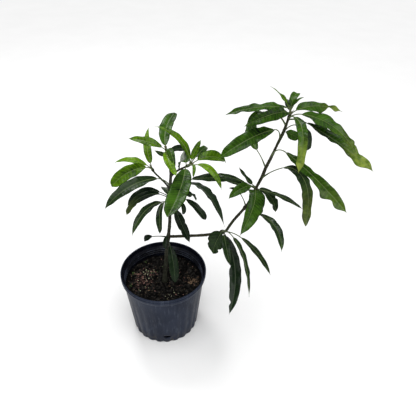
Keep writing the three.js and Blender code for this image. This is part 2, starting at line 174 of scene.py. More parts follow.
# Wood: the points that each limb's axis runs through, its radius at both ends, and how much of its
# whorls' collars shows as a knuckle. Long collars are only a slight thickening. A knuckle fades out
# between two fractions of the limb's length, outside and inside its whorl's end.
LIMBS = {
    "trunk": dict(
        axis=[(2, -4, 190), (9, 1, 272), (14, 0, 325), (19, 0, 367), (24, 0, 407), (28, 0, 458),
              (30, 0, 521), (33, 0, 574), (36, 0, 614)],
        radii=(6.5, 4.2), flare=4, knuckle=0.5),
    "bough_low": dict(
        axis=[(20, 0, 381), (50, -16, 393), (87, -29, 403), (131, -44, 415), (163, -54, 427),
              (192, -62, 441)],
        radii=(4.6, 4.2), knuckle=1),
    "bough_mid": dict(
        axis=[(192, -62, 441), (211, -61, 476), (231, -60, 504), (250, -58, 530), (266, -54, 561),
              (276, -50, 589)],
        radii=(4.2, 4.0), knuckle=0.8),
    "bough_top": dict(
        axis=[(276, -50, 589), (288, -48, 618), (297, -45, 646), (309, -42, 675), (322, -39, 711),
              (337, -35, 750), (349, -30, 795)],
        radii=(4.0, 3.2), knuckle=0.3),
    "twig_left": dict(
        axis=[(32, 2, 556), (21, 6, 574), (5, 12, 592), (-9, 16, 607), (-18, 20, 622)],
        radii=(2.8, 2.4), knuckle=0.6),
    "twig_mid": dict(
        axis=[(35, 0, 606), (32, 5, 645), (27, 9, 671), (25, 12, 686)],
        radii=(3.0, 2.6), knuckle=0.4),
    "twig_right": dict(
        axis=[(34, 0, 602), (53, -8, 625), (72, -17, 641), (88, -25, 653)],
        radii=(3.0, 2.6), knuckle=0.6),
}
FLARE_REACH = 30
LIMB_SIDES = 20
LIMB_STEP = 1.6
COLLAR_THICKNESS = 2.2
COLLAR_LIP = 0.9
KNUCKLE_OUTSIDE = 0.02
KNUCKLE_INSIDE = 0.01

# Bark of each piece: its slot, its limbs, its first seed, and its relief, as the depth and length
# of its ridges and the height and spacing of its leaf scars.
BARK = {
    "trunk_bark": ("bark", ["trunk"], 2, (0.75, 26, 0.8, 17)),
    "bough_bark": ("young_bark", ["bough_low", "bough_mid", "bough_top"], 5, (0.4, 18, 0.9, 12)),
    "twig_bark": ("young_bark", ["twig_left", "twig_mid", "twig_right"], 9, (0.25, 14, 0.6, 8)),
}
RIDGE_TURN = 1.7
RIDGE_FRACTAL = (0.8, 2.0, 3)
SCAR_LENGTH = 1.3
SCAR_WIDTH = 0.8
SCAR_END = 3
SCAR_JITTER = 0.3
DOME_ANGLES = (0.5, 1.0, 1.4)

# Buds: the limb, the fraction of its length and the scales' length.
BUDS = [("twig_left", 1, 13), ("twig_mid", 1, 12), ("twig_right", 1, 13), ("bough_top", 1, 16),
        ("trunk", 1, 8), ("bough_mid", 0.97, 8), ("bough_low", 0.97, 8)]
BUD_SEED = 31
BUD_SCALES = 7
BUD_LEAN = 0.18
BUD_OPENING = 0.5
BUD_ASIDE = 1.2
BUD_SINKING = 2
SCALE_LENGTHS = (0.7, 1.15)
SCALE_WIDTH = 0.13
SCALE_TIP = 0.12
SCALE_SWELLING = (0.12, 0.88, 7)
SCALE_FULLNESS = 0.8
SCALE_FLATNESS = 0.45

# Leaf, with the part's values for one that a row doesn't change. Pale is how far its tip turns
# yellow, and fold is how steeply its halves rise. A flaw is a lobe or a tear: the edge, the place
# along the blade, the reach, and the change of width as a part of it.
MATURE = dict(droop=60, petiole=20, slender=0.2, fold=0.22, sweep=0, lift=20, roll=0, taper=0.7,
              pale=0, flaws=())
LEFT, RIGHT = 1, -1
TILT_JITTER = 5
SEED_STEP = 3.1
ROLL_REACH = 1 / 3
BASE_BLUNTNESS = 0.5
TIP_START = 0.84
TIP_CURVE = 1.6
PALE_FROM, PALE_TO = 0.42, 0.9
PETIOLE_STEPS = 12
PETIOLE_RADIUS = 1.45
PULVINUS_RADIUS = 2.3
PULVINUS_END = (0.2, 0.55)
BLADE_STEP = 2.4
LEAST_STEPS = 14
BLADE_COLUMNS = 13
EDGE_CROWDING = 0.9
BLADE_SKIN = 0.5
BREADTH = 1.05
LEAST_HALF = 0.35
MIDRIB_RADIUS = (1.05, 0.3)
MIDRIB_FULL_LENGTH = 140
MIDRIB_LIFT = 0.15
STALK_SIDES = 8
BAKE_MARGIN = 0.01

# Relief of the blade: raised panels between the side veins, an arch from midrib to edge, and waves
# with ripples on them, which are full where the blade is wide and differ from edge to edge.
VEIN_SPACING = 10
VEIN_SLANT = 0.65
QUILT = 0.28
ARCH = 0.9
WAVE_HEIGHT = 1.3
WAVE_LENGTH = 46
FULL_WAVE_HALF = 9
RIPPLE_HEIGHT = 0.4
RIPPLE_LENGTH = WAVE_LENGTH * 0.58
RAGGED = 0.025
RAGGED_LENGTH = WAVE_LENGTH * 0.7
LEAF_PHASE = 1.7
EDGE_PHASE = 2.4


def leaf(heading, rise, length, tone, **differs):
    """One leaf: where its blade sets out to, how long it is, its tone, and what isn't MATURE."""
    return {**MATURE, "heading": heading, "rise": rise, "length": length, "tone": tone, **differs}


# Whorls: each one's limb, the fractions of its length between which the whorl sits, how wavy its
# leaves are, and its leaves.
FIRST_WHORL_SEED = 11
WHORLS = {
    "leaves_fork": ("trunk", 0.42, 0.47, 1, [
        leaf(-80, -25, 120, "deep", petiole=30, slender=0.24, sweep=-5, lift=25, taper=0.5),
        leaf(180, -5, 35, "deep", droop=55, petiole=50, slender=0.52, sweep=-30, lift=25, roll=-35,
             taper=0.4),
        leaf(-130, -35, 45, "deep", petiole=5, slender=0.41, sweep=35, lift=75, roll=25),
    ]),
    "leaves_trunk_low": ("trunk", 0.745, 0.82, 1, [
        leaf(-70, -30, 105, "deep", droop=30, petiole=45, slender=0.25, sweep=20, lift=75, roll=20,
             flaws=[(LEFT, 0.45, 0.05, -0.2), (RIGHT, 0.6, 0.05, -0.2)]),
        leaf(-120, 5, 110, "dark", droop=120, petiole=45, slender=0.14, sweep=50, lift=55,
             flaws=[(RIGHT, 0.6, 0.3, 0.3)]),
        leaf(-140, 20, 150, "dark", droop=65, petiole=35, slender=0.17, sweep=25, lift=5, taper=0.8,
             flaws=[(LEFT, 0.5, 0.35, 0.15)]),
        leaf(95, 0, 150, "dark"),
        leaf(-165, 30, 130, "deep", droop=100, petiole=35, slender=0.14, sweep=15, lift=15, roll=-40,
             taper=0.6, pale=0.25, fold=0.34,
             flaws=[(RIGHT, 0.4, 0.05, -0.35), (LEFT, 0.62, 0.04, -0.25), (LEFT, 0.5, 0.35, 0.3),
                    (LEFT, 0.93, 0.08, 0.5), (RIGHT, 0.93, 0.08, 0.5)]),
        leaf(180, 25, 110, "deep", droop=75, petiole=35, slender=0.22, sweep=35, roll=-35),
        leaf(45, -10, 140, "dark"),
    ]),
    "leaves_trunk_high": ("trunk", 0.843, 0.904, 1, [
        leaf(-50, -35, 55, "deep", droop=120, petiole=50, slender=0.24, sweep=-40, lift=35, roll=10,
             taper=1.1),
        leaf(-45, -5, 85, "deep", droop=40, petiole=60, slender=0.24, sweep=-5, lift=5, roll=15,
             taper=0.3),
        leaf(-20, -5, 25, "dark", droop=70, petiole=45, slender=0.62, sweep=30, lift=5, roll=60,
             taper=0.5),
        leaf(-150, 20, 180, "dark", petiole=65, slender=0.18, sweep=5, lift=60, roll=-20, fold=0.34,
             flaws=[(LEFT, 0.5, 0.3, 0.18)]),
        leaf(-60, 30, 230, "deep", droop=55, petiole=95, slender=0.11, sweep=-20, lift=10, roll=-15,
             taper=0.9, flaws=[(LEFT, 0.45, 0.4, 0.35), (RIGHT, 0.45, 0.4, -0.3)]),
        leaf(10, 0, 150, "dark", droop=25, petiole=65, slender=0.18, sweep=5, roll=30, taper=0.6),
    ]),
    "leaves_left_tip": ("twig_left", 0.86, 1, 0.6, [
        leaf(-165, 10, 115, "bright", droop=55, petiole=25, slender=0.31, sweep=15, lift=55, roll=-55,
             taper=0.4, fold=0.5, flaws=[(LEFT, 0.2, 0.15, 0.2)]),
        leaf(170, 30, 110, "young", droop=70, slender=0.18, sweep=-20, roll=-10, taper=1,
             flaws=[(RIGHT, 0.4, 0.3, 0.3)]),
        leaf(110, 45, 120, "young", droop=20, petiole=15, slender=0.18, sweep=-40, taper=1.1),
    ]),
    "leaves_mid_tip": ("twig_mid", 0.7, 1, 1, [
        leaf(170, 20, 35, "green", droop=-5, petiole=5, slender=0.36, sweep=-15, lift=0, roll=-60,
             taper=1.1),
        leaf(40, 10, 80, "deep", petiole=12, slender=0.3, roll=20),
        leaf(-80, 35, 90, "green", droop=105, petiole=25, sweep=5, lift=50, taper=1),
        leaf(-95, 10, 105, "young", droop=40, slender=0.17, sweep=35, lift=50, taper=0.4,
             flaws=[(RIGHT, 0.5, 0.4, 0.25), (LEFT, 0.5, 0.4, 0.25)]),
        leaf(165, 25, 105, "bright", droop=40, petiole=15, slender=0.25, sweep=-20, lift=25, roll=-30,
             taper=0.9),
        leaf(95, 15, 145, "green", droop=0, petiole=15, slender=0.26, sweep=-40, lift=5, taper=0.3),
    ]),
    "leaves_right_tip": ("twig_right", 0.8, 1, 0.8, [
        leaf(-100, -5, 200, "green", droop=0, petiole=15, slender=0.25, sweep=-15, roll=-5, taper=0.5),
        leaf(90, 0, 135, "green", droop=80, petiole=15, slender=0.35, sweep=20, roll=-60),
        leaf(-75, 25, 45, "bright", droop=105, petiole=55, sweep=-45, lift=15),
        leaf(-40, 20, 110, "young", droop=85, petiole=35, slender=0.16, sweep=-25, lift=10, roll=30,
             taper=0.8),
        leaf(15, 20, 100, "bright", droop=75, petiole=30, slender=0.35, sweep=5, lift=5, roll=25,
             taper=0.6, fold=0.36, flaws=[(RIGHT, 0.85, 0.04, -0.5)]),
        leaf(150, 80, 140, "bright", droop=75, slender=0.16, sweep=20, lift=40, roll=-15, taper=1),
        leaf(50, 20, 80, "green", droop=45, petiole=30, slender=0.26, sweep=15, lift=0, roll=20,
             taper=0.6),
        leaf(40, 55, 60, "bright", droop=5, petiole=15, slender=0.28, roll=20),
    ]),
    "leaves_low_knuckle": ("bough_low", 0.9, 0.97, 1, [
        leaf(-40, -20, 140, "dark", droop=35, petiole=75, slender=0.13, sweep=-10, lift=60, roll=15),
        leaf(-70, -5, 180, "dark", droop=50, petiole=80, slender=0.11, sweep=-25, lift=60, roll=-30,
             taper=0.9),
        leaf(-70, -30, 235, "deep", droop=-5, petiole=25, slender=0.14, sweep=-50, lift=65, taper=0.6,
             flaws=[(RIGHT, 0.4, 0.03, -0.3), (RIGHT, 0.86, 0.03, -0.5)]),
        leaf(-90, -15, 95, "dark", droop=30, slender=0.25, sweep=10, lift=50),
        leaf(-155, -55, 85, "dark", droop=35, petiole=10, slender=0.62, sweep=-30, lift=115, roll=-40,
             taper=0.8,
             flaws=[(LEFT, 0.35, 0.05, -0.3), (LEFT, 0.62, 0.06, -0.3), (RIGHT, 0.55, 0.05, -0.2)]),
    ]),
    "leaves_mid_ring": ("bough_mid", 0.53, 0.6, 1, [
        leaf(-60, 15, 165, "dark", droop=30, petiole=65, slender=0.14, sweep=-45, lift=0, roll=5),
        leaf(150, 55, 45, "dark", droop=75, petiole=40, slender=0.3),
    ]),
    "leaves_mid_knuckle": ("bough_mid", 0.91, 0.97, 1.3, [
        leaf(-100, 5, 180, "green", droop=30, petiole=10, slender=0.3, sweep=-30, lift=65, roll=-40,
             taper=0.9, fold=0.38, flaws=[(LEFT, 0.6, 0.2, -0.12), (RIGHT, 0.2, 0.12, 0.25)]),
        leaf(-155, 15, 80, "green", petiole=30, slender=0.35, lift=65, roll=-40, taper=0.9),
        leaf(-15, -10, 90, "dark", droop=70, petiole=10, slender=0.33, sweep=-55, lift=50, roll=20,
             flaws=[(LEFT, 0.55, 0.05, -0.4), (RIGHT, 0.7, 0.05, -0.3)]),
        leaf(-30, -5, 105, "dark", droop=20, petiole=40, slender=0.15, sweep=-5, lift=15, roll=15,
             taper=0.8),
        leaf(175, 15, 60, "dark", droop=10, petiole=35, sweep=-10, lift=15, roll=-45, taper=1.1),
        leaf(170, 25, 90, "dark", droop=40, petiole=35, slender=0.16, sweep=-35, lift=5, roll=-35,
             taper=0.4),
        leaf(145, 30, 65, "dark", droop=-20, petiole=15, slender=0.32, sweep=-15, lift=0, roll=10,
             taper=1.1),
    ]),
    "leaves_top_low": ("bough_top", 0.03, 0.5, 1.7, [
        leaf(-55, 35, 215, "dark", droop=125, petiole=95, slender=0.13, sweep=-60, roll=55, taper=0.3,
             pale=0.35,
             flaws=[(RIGHT, 0.72, 0.06, 0.25), (LEFT, 0.42, 0.04, -0.2), (RIGHT, 0.93, 0.06, 0.6)]),
        leaf(105, 10, 180, "green", droop=-20, petiole=65, slender=0.18, sweep=-60, lift=30, roll=-15),
        leaf(-65, -5, 230, "green", droop=15, petiole=75, slender=0.14, lift=85, roll=25, taper=0.5,
             pale=0.2, fold=0.34,
             flaws=[(RIGHT, 0.72, 0.05, 0.6), (RIGHT, 0.5, 0.1, -0.3), (RIGHT, 0.82, 0.03, -0.2),
                    (RIGHT, 0.92, 0.06, 0.6), (LEFT, 0.35, 0.26, -0.5)]),
    ]),
    "leaves_top_high": ("bough_top", 0.62, 0.88, 1.5, [
        leaf(-145, 10, 180, "green", droop=40, petiole=55, sweep=-15, lift=95, roll=-35, taper=0.5,
             fold=0.36),
        leaf(25, -25, 105, "dark", droop=70, petiole=60, slender=0.25, sweep=-35, lift=95, roll=60,
             taper=0.3),
        leaf(-20, -15, 40, "green", droop=10, petiole=5, slender=0.61, lift=0, roll=65, taper=0.4),
        leaf(180, -5, 65, "green", droop=120, petiole=85, slender=0.36, sweep=60, lift=75, roll=-30,
             taper=0.3),
    ]),
    "leaves_top_tip": ("bough_top", 0.93, 1, 1.7, [
        leaf(-30, -20, 210, "green", droop=10, petiole=50, slender=0.16, sweep=-10, lift=40, roll=25,
             taper=0.6, pale=0.9, fold=0.34,
             flaws=[(RIGHT, 0.79, 0.1, 0.8), (RIGHT, 0.45, 0.14, -0.4), (LEFT, 0.64, 0.04, 0.3),
                    (LEFT, 0.73, 0.03, -0.3), (LEFT, 0.93, 0.06, 0.6)]),
        leaf(-80, 10, 175, "green", droop=85, petiole=35, slender=0.14, sweep=-40, lift=45, roll=25,
             pale=1, flaws=[(RIGHT, 0.9, 0.12, 0.7), (LEFT, 0.9, 0.12, 0.7)]),
        leaf(-35, 5, 175, "green", droop=50, petiole=40, slender=0.26, sweep=-20, lift=50, roll=10,
             taper=0.9, pale=0.3,
             flaws=[(LEFT, 0.84, 0.04, 0.3), (LEFT, 0.62, 0.18, -0.35), (RIGHT, 0.33, 0.16, 0.45)]),
        leaf(-135, 25, 150, "green", droop=55, sweep=-40, lift=90, roll=-70, fold=0.4),
        leaf(-165, 15, 170, "green", droop=45, petiole=35, slender=0.17, sweep=-40, lift=115, roll=-20,
             flaws=[(RIGHT, 0.45, 0.12, -0.35), (RIGHT, 0.16, 0.06, 0.35)]),
        leaf(15, 15, 135, "green", droop=40, petiole=25, sweep=-25, lift=45, roll=30, taper=1, pale=0.6,
             flaws=[(RIGHT, 0.45, 0.15, 0.8), (LEFT, 0.58, 0.12, -0.4), (LEFT, 0.12, 0.08, 0.6),
                    (RIGHT, 0.68, 0.05, -0.7), (LEFT, 0.68, 0.05, -0.5), (RIGHT, 0.84, 0.07, 0.7),
                    (LEFT, 0.84, 0.07, 0.7)]),
        leaf(75, 15, 140, "dark"),
        leaf(55, 75, 55, "green", droop=100, petiole=25, slender=0.39, taper=0.4),
        leaf(140, 55, 75, "bright", droop=30, sweep=15, lift=45, taper=1.1),
        leaf(0, 65, 35, "green", droop=40, petiole=25, slender=0.23, sweep=-25, lift=25, roll=20),
    ]),
}

# Tones of leaf: the upper side's colour, from its shaded to its lit parts, and its gloss.
TONES = {
    "deep": ((0.001, 0.005, 0.002), (0.008, 0.020, 0.006), 0.12),
    "dark": ((0.003, 0.010, 0.003), (0.020, 0.044, 0.011), 0.12),
    "green": ((0.002, 0.012, 0.001), (0.039, 0.102, 0.006), 0.12),
    "bright": ((0.010, 0.034, 0.001), (0.093, 0.198, 0.004), 0.12),
    "young": ((0.040, 0.100, 0.002), (0.144, 0.282, 0.006), 0.14),
}

# Stage, in metres: each light's kind, energy, size (the sun's in degrees) and place.
LIGHTS = {
    "key": ("SUN", 2.5, 50, (0.4, -0.6, 3.0)),
    "fill": ("AREA", 16, 2, (-0.8, -2.6, 1.6)),
    "sheen": ("AREA", 26, 0.8, (-0.5, 1.6, 2.6)),
}
LIGHTS_AIM = (0.15, 0, 0.4)
GLOW = 0.26
BACKDROP = 0.95
FLOOR_SIZE = 60

# Camera: where the photographer stood, and how the lens was turned and held.
CAMERA_PLACE = (0, -1040, 1258)
CAMERA_YAW = 7.9
CAMERA_PITCH = 36.4
CAMERA_ROLL = 1.5
CAMERA_LENS = 37.2
SENSOR_WIDTH = 36


def mix(a, b, t):
    return a + (b - a) * t


def ease(low, high, value):
    """0 below low, 1 above high, and a smooth step between them."""
    t = np.clip((value - low) / (high - low), 0, 1)
    return t * t * (3 - 2 * t)


def seeded(seed):
    """The part's own run of numbers from 0 to 1, the same every time."""
    multiplier, modulus, spread = 16807, 2147483647, 7919
    state = seed * spread

    def draw():
        nonlocal state
        state = state * multiplier % modulus
        return state / modulus

    return draw


def round_turns(sides):
    """Even angles once round."""
    return np.arange(sides) * TURN / sides


def compass(heading, rise=0):
    """The directions out along a heading, which may rise, and level across it."""
    out = np.array([math.cos(heading), math.sin(heading), rise])
    return out, np.array([-math.sin(heading), math.cos(heading), 0])


# ---- meshes


BLOCK_CORNERS = [(-1, -1, -1), (1, -1, -1), (1, 1, -1), (-1, 1, -1),
                 (-1, -1, 1), (1, -1, 1), (1, 1, 1), (-1, 1, 1)]
BLOCK_FACES = [(0, 3, 2, 1), (4, 5, 6, 7), (0, 1, 5, 4), (1, 2, 6, 5), (2, 3, 7, 6), (3, 0, 4, 7)]


class Pile:
    """Skins of points gathered into one mesh, with each face's material slot and map places."""

    def __init__(self):
        self.points = []
        self.faces = []
        self.slots = []
        self.corners = {}
        self.values = {}
        self.count = 0

    def skin(self, rows, slot=0, capped=True, maps=None, values=None):
        """A tube over rings of points. Maps give corners their place, values give points theirs."""
        rows = np.asarray(rows, float)
        tall, wide = rows.shape[:2]
        left = np.arange(tall * wide).reshape(tall, wide) + self.count
        right = np.roll(left, -1, axis=1)
        quads = np.stack([left[:-1], right[:-1], right[1:], left[1:]], -1).reshape(-1, 4)
        self.points.append(rows.reshape(-1, 3))
        self.faces.extend(quads.tolist())
        slots = np.broadcast_to(np.asarray(slot), left[:-1].shape)
        self.slots.extend(slots.reshape(-1).tolist())
        for name, (near, far) in (maps or {}).items():
            four = np.stack([near[:-1], far[:-1], far[1:], near[1:]], -2)
            self.corners.setdefault(name, []).append(four.reshape(-1, 2))
        for name, numbers in (values or {}).items():
            self.values.setdefault(name, []).append(np.asarray(numbers, float).reshape(-1))
        if capped:
            self.faces.append(left[0][::-1].tolist())
            self.faces.append(left[-1].tolist())
            self.slots.extend([int(slots[0, 0])] * 2)
        self.count += tall * wide

    def block(self, points):
        """A six-sided block from its eight corners."""
        self.points.append(np.asarray(points, float))
        self.faces.extend([[corner + self.count for corner in face] for face in BLOCK_FACES])
        self.slots.extend([0] * len(BLOCK_FACES))
        self.count += len(points)

    def piece(self, name, materials, smooth=True):
        """The whole pile as one object, in metres, riding on the part."""
        mesh = bpy.data.meshes.new(name)
        mesh.from_pydata((np.concatenate(self.points) * MM).tolist(), [], self.faces)
        for material in materials:
            mesh.materials.append(material)
        mesh.polygons.foreach_set("material_index", self.slots)
        mesh.polygons.foreach_set("use_smooth", [smooth] * len(self.faces))
        for map_name, places in self.corners.items():
            layer = mesh.uv_layers.new(name=map_name)
            layer.data.foreach_set("uv", np.concatenate(places).reshape(-1))
        for value_name, numbers in self.values.items():
            attribute = mesh.attributes.new(value_name, "FLOAT", "POINT")
            attribute.data.foreach_set("value", np.concatenate(numbers))
        mesh.update()
        obj = bpy.data.objects.new(name, mesh)
        bpy.context.scene.collection.objects.link(obj)
        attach(obj, "root")
        return obj


def ring(centre, across, along, radii, sides):
    """Points round a centre, at one radius for all or at one for each."""
    turns = round_turns(sides)
    spread = np.outer(radii * np.cos(turns), across) + np.outer(radii * np.sin(turns), along)
    return np.asarray(centre, float) + spread


def level_ring(radii, z, turns):
    """Points at one height round the pot's axis."""
    return np.stack([radii * np.cos(turns), radii * np.sin(turns), np.full(len(turns), z)], -1)


def spindle(root, reach, across, along, radii, sides=6):
    """Rings from a root to the end of its reach, one for each radius."""
    return [ring(root + reach * part, across, along, radius, sides)
            for part, radius in zip(np.linspace(0, 1, len(radii)), radii)]


def swelling(start, span, rows):
    """How thick a spindle is at each of its rings: a span of a sine's half wave."""
    return [math.sin(math.pi * (start + span * part)) for part in np.linspace(0, 1, rows)]


# ---- shaders


class Shader:
    """A material with short calls for the nodes that these looks are made of."""

    def __init__(self, name, gloss, roughness=0.5):
        self.material = bpy.data.materials.new(name)
        self.material.use_nodes = True
        self.tree = self.material.node_tree
        self.surface = self.tree.nodes["Principled BSDF"]
        self.surface.inputs["Roughness"].default_value = roughness
        self.surface.inputs["Specular IOR Level"].default_value = gloss
        self.place = self.node("TexCoord").outputs["Object"]

    def node(self, kind, links=None, **settings):
        node = self.tree.nodes.new(f"ShaderNode{kind}")
        for name, value in settings.items():
            setattr(node, name, value)
        for socket, value in (links or {}).items():
            self.join(value, node.inputs[socket])
        return node

    def join(self, value, socket):
        """Links an output to a socket, or sets the socket to a constant."""
        if isinstance(value, bpy.types.NodeSocket):
            self.tree.links.new(value, socket)
        else:
            socket.default_value = value

    def math(self, operation, *values):
        return self.node("Math", dict(enumerate(values)), operation=operation).outputs[0]

    def plus(self, first, second):
        return self.math("ADD", first, second)

    def times(self, first, second):
        return self.math("MULTIPLY", first, second)

    def split(self, vector):
        """The vector's own X, Y and Z outputs."""
        return self.node("SeparateXYZ", {"Vector": vector}).outputs

    def value(self, name):
        """A number that the mesh gives each of its points."""
        return self.node("Attribute", attribute_name=name).outputs["Fac"]

    def stretched(self, upright):
        """Places squeezed along Z, so that what is drawn on them runs upright."""
        scale = (1, 1, upright)
        return self.node("Mapping", {"Vector": self.place, "Scale": scale}).outputs[0]

    def noise(self, scale, detail, place=None, roughness=0.55):
        return self.node("TexNoise", {
            "Vector": place or self.place, "Scale": scale, "Detail": detail,
            "Roughness": roughness}).outputs["Fac"]

    def range(self, value, low, high, to_low=0.0, to_high=1.0):
        return self.node("MapRange", {
            "Value": value, "From Min": low, "From Max": high, "To Min": to_low,
            "To Max": to_high}).outputs["Result"]

    def patches(self, scale, detail, *span):
        """Where a noise of this scale and detail lies within a range."""
        return self.range(self.noise(scale, detail), *span)

    def specks(self, scale, size, strength):
        """Small round spots, strongest in the middle."""
        cells = self.node("TexVoronoi", {"Vector": self.place, "Scale": scale})
        return self.range(cells.outputs["Distance"], 0, size, strength, 0)

    def blend(self, factor, first, second):
        node = self.node("Mix", {"Factor": factor}, data_type="RGBA")
        for value, socket in ((first, node.inputs[6]), (second, node.inputs[7])):
            self.join(value if isinstance(value, bpy.types.NodeSocket) else (*value, 1), socket)
        return node.outputs[2]

    def colour(self, value):
        self.join(value, self.surface.inputs["Base Color"])

    def rough(self, grain, low, high):
        """Roughness between two values, dealt out by a noise."""
        self.join(self.range(grain, 0.3, 0.7, low, high), self.surface.inputs["Roughness"])

    def bump(self, height, strength, distance, under=None):
        """Dents, over those that lie under them."""
        links = {"Height": height, "Strength": strength, "Distance": distance * MM}
        if under is not None:
            links["Normal"] = under
        out = self.node("Bump", links).outputs["Normal"]
        self.join(out, self.surface.inputs["Normal"])
        return out


def leaf_upper(tone):
    """A leathery, glossy leaf: mottled green, paler along its side veins, yellow where pale."""
    shade, lit, gloss = TONES[tone]
    look = Shader(f"leaf_{tone}", gloss)
    broad = look.times(look.noise(22, 2), 0.6)
    mottle = look.plus(broad, look.times(look.noise(80, 4), 0.4))
    green = look.blend(look.range(mottle, 0.35, 0.65), shade, lit)
    lie = look.split(look.node("UVMap", uv_map="blade").outputs["UV"])
    aside = look.times(look.math("ABSOLUTE", lie["X"]), VEIN_SLANT)
    wander = look.times(look.noise(35, 2), 0.9)
    along = look.plus(look.math("SUBTRACT", lie["Y"], aside), wander)
    wave = look.math("ABSOLUTE", look.math("SUBTRACT", look.math("FRACT", along), 0.5))
    vein = look.range(wave, 0.40, 0.5)
    veined = look.blend(look.times(vein, 0.42), green, tuple(c * 2.1 for c in lit))
    patchy = look.patches(70, 3, 0.38, 0.58, 0.35, 1.0)
    pale = look.times(look.value("pale"), patchy)
    look.colour(look.blend(pale, veined, (0.24, 0.31, 0.050)))
    look.rough(look.noise(60, 3), 0.22, 0.36)
    grain = look.bump(look.noise(300, 2), 0.05, 0.4)
    look.bump(vein, 0.2, 0.4, under=grain)
    return look.material


def plain_look(name, gloss, patches, dark, light, rough=None, dents=None, roughness=0.5):
    """Two colours in patches. A noise is given by its scale and detail, and then patches by its
    range, rough by the roughness at both ends, and dents by strength and depth."""
    look = Shader(name, gloss, roughness)
    look.colour(look.blend(look.patches(*patches), dark, light))
    if rough:
        look.rough(look.noise(*rough[:2]), *rough[2:])
    if dents:
        look.bump(look.noise(*dents[:2]), *dents[2:])
    return look.material


def leaf_under(tone):
    """The leaf's underside: paler, greyer and nearly without gloss."""
    shade, lit, _ = TONES[tone]
    dull = tuple(mix(channel, sum(lit) / 3, 0.35) * 1.5 for channel in lit)
    dark = tuple(mix(channel, sum(shade) / 3, 0.3) * 1.6 for channel in shade)
    return plain_look(f"leaf_{tone}_under", 0.06, (60, 3, 0.35, 0.65), dark, dull,
                      (120, 2, 0.5, 0.66), (500, 3, 0.2, 0.4))


def stalk_look(name, dark, light, streak, roughness, dents):
    """Green-grey on a dark leaf and yellow-green on a light one, with streaks of both."""
    look = Shader(name, 0.15)
    scale, least = streak
    lightness = look.math("POWER", look.value("lightness"), 0.6)
    streaks = look.patches(scale, 3, 0.35, 0.65, least, 1.0)
    look.colour(look.blend(look.times(lightness, streaks), dark, light))
    look.rough(look.noise(140, 2), *roughness)
    look.bump(look.noise(dents[0], 2), dents[1], 0.3)
    return look.material


def midrib_look():
    return stalk_look("midrib", (0.060, 0.085, 0.042), (0.215, 0.290, 0.085), (40, 0.6),
                      (0.38, 0.52), (800, 0.15))


def petiole_look():
    return stalk_look("petiole", (0.060, 0.078, 0.042), (0.150, 0.200, 0.075), (70, 0.5),
                      (0.4, 0.56), (900, 0.2))


def old_bark():
    """Grey-brown bark with upright cracks and pale specks, for the trunk."""
    look = Shader("old_bark", 0.1)
    cracks = look.noise(320, 5, look.stretched(0.22), 0.65)
    body = look.blend(look.range(cracks, 0.35, 0.62), (0.014, 0.014, 0.010), (0.058, 0.060, 0.042))
    moss = look.patches(45, 4, 0.50, 0.64, 0, 0.6)
    greened = look.blend(moss, body, (0.036, 0.042, 0.028))
    look.colour(look.blend(look.specks(420, 0.16, 0.5), greened, (0.19, 0.17, 0.13)))
    look.rough(cracks, 0.92, 0.72)
    look.bump(cracks, 0.8, 1.1)
    return look.material


def young_bark():
    """Smooth dark bark, green-brown, with small pale breathing spots."""
    look = Shader("young_bark", 0.12)
    streaks = look.noise(260, 4, look.stretched(0.4))
    body = look.blend(look.range(streaks, 0.35, 0.65), (0.012, 0.012, 0.007), (0.045, 0.042, 0.022))
    green = look.patches(18, 2, 0.45, 0.62, 0, 0.55)
    tinted = look.blend(green, body, (0.028, 0.046, 0.016))
    look.colour(look.blend(look.specks(300, 0.13, 0.55), tinted, (0.17, 0.15, 0.10)))
    look.rough(streaks, 0.48, 0.68)
    look.bump(streaks, 0.5, 0.6)
    return look.material


def bud_look():
    return plain_look("bud_scale", 0.4, (200, 3, 0.35, 0.65), (0.060, 0.075, 0.020),
                      (0.16, 0.14, 0.05), (300, 2, 0.42, 0.6), (900, 2, 0.2, 0.2))


def pot_inside_painted_shade():
    """The same plastic on the inside, darker as painted shade, and glossier."""
    return plain_look("pot_inside_painted_shade", 0.28, (30, 4, 0.35, 0.65), (0.002, 0.002, 0.005),
                      (0.008, 0.010, 0.018), (200, 3, 0.22, 0.34), (60, 2, 0.03, 0.3))


def pot_rib_painted_highlight():
    """The crests of the ribs inside, a greyer blue that is a painted highlight."""
    return plain_look("pot_rib_painted_highlight", 0.28, (24, 3, 0.42, 0.60), (0.005, 0.007, 0.012),
                      (0.085, 0.102, 0.148), (200, 3, 0.3, 0.45), (60, 2, 0.03, 0.3))


def pot_plastic():
    """Black blow-moulded plastic: a fine skin, upright scuffs, and dry mix near its foot."""
    look = Shader("pot_plastic", 0.08)
    cloud = look.patches(9, 4, 0.35, 0.65)
    body = look.blend(cloud, (0.009, 0.013, 0.026), (0.020, 0.027, 0.048))
    scuffs = look.range(look.noise(160, 4, look.stretched(0.07), 0.7), 0.54, 0.68, 0, 0.45)
    scuffed = look.blend(scuffs, body, (0.078, 0.093, 0.126))
    near_foot = look.range(look.split(look.place)["Z"], 0.0, 0.05, 0.75, 0.0)
    dust = look.times(look.range(look.noise(70, 6, roughness=0.7), 0.48, 0.62), near_foot)
    look.colour(look.blend(dust, scuffed, (0.075, 0.062, 0.048)))
    look.rough(look.noise(240, 4), 0.32, 0.5)
    look.bump(look.noise(700, 3), 0.18, 0.3)
    return look.material


def mix_look(name, dark, light, rough=0.9):
    """Crumbly ground, or chips of it, between two browns."""
    look = Shader(name, 0.04)
    grain = look.noise(420, 6, roughness=0.7)
    chip = look.times(look.noise(130, 2), 0.6)
    tint = look.plus(look.times(grain, 0.4), chip)
    look.colour(look.blend(look.range(tint, 0.45, 0.62), dark, light))
    look.rough(look.noise(90, 2), rough - 0.08, rough)
    look.bump(grain, 0.9, 1.2)
    return look.material


def sprout_look():
    return plain_look("sprout", 0.3, (300, 2, 0.35, 0.65), (0.045, 0.10, 0.018),
                      (0.12, 0.21, 0.05), dents=(900, 2, 0.2, 0.2))


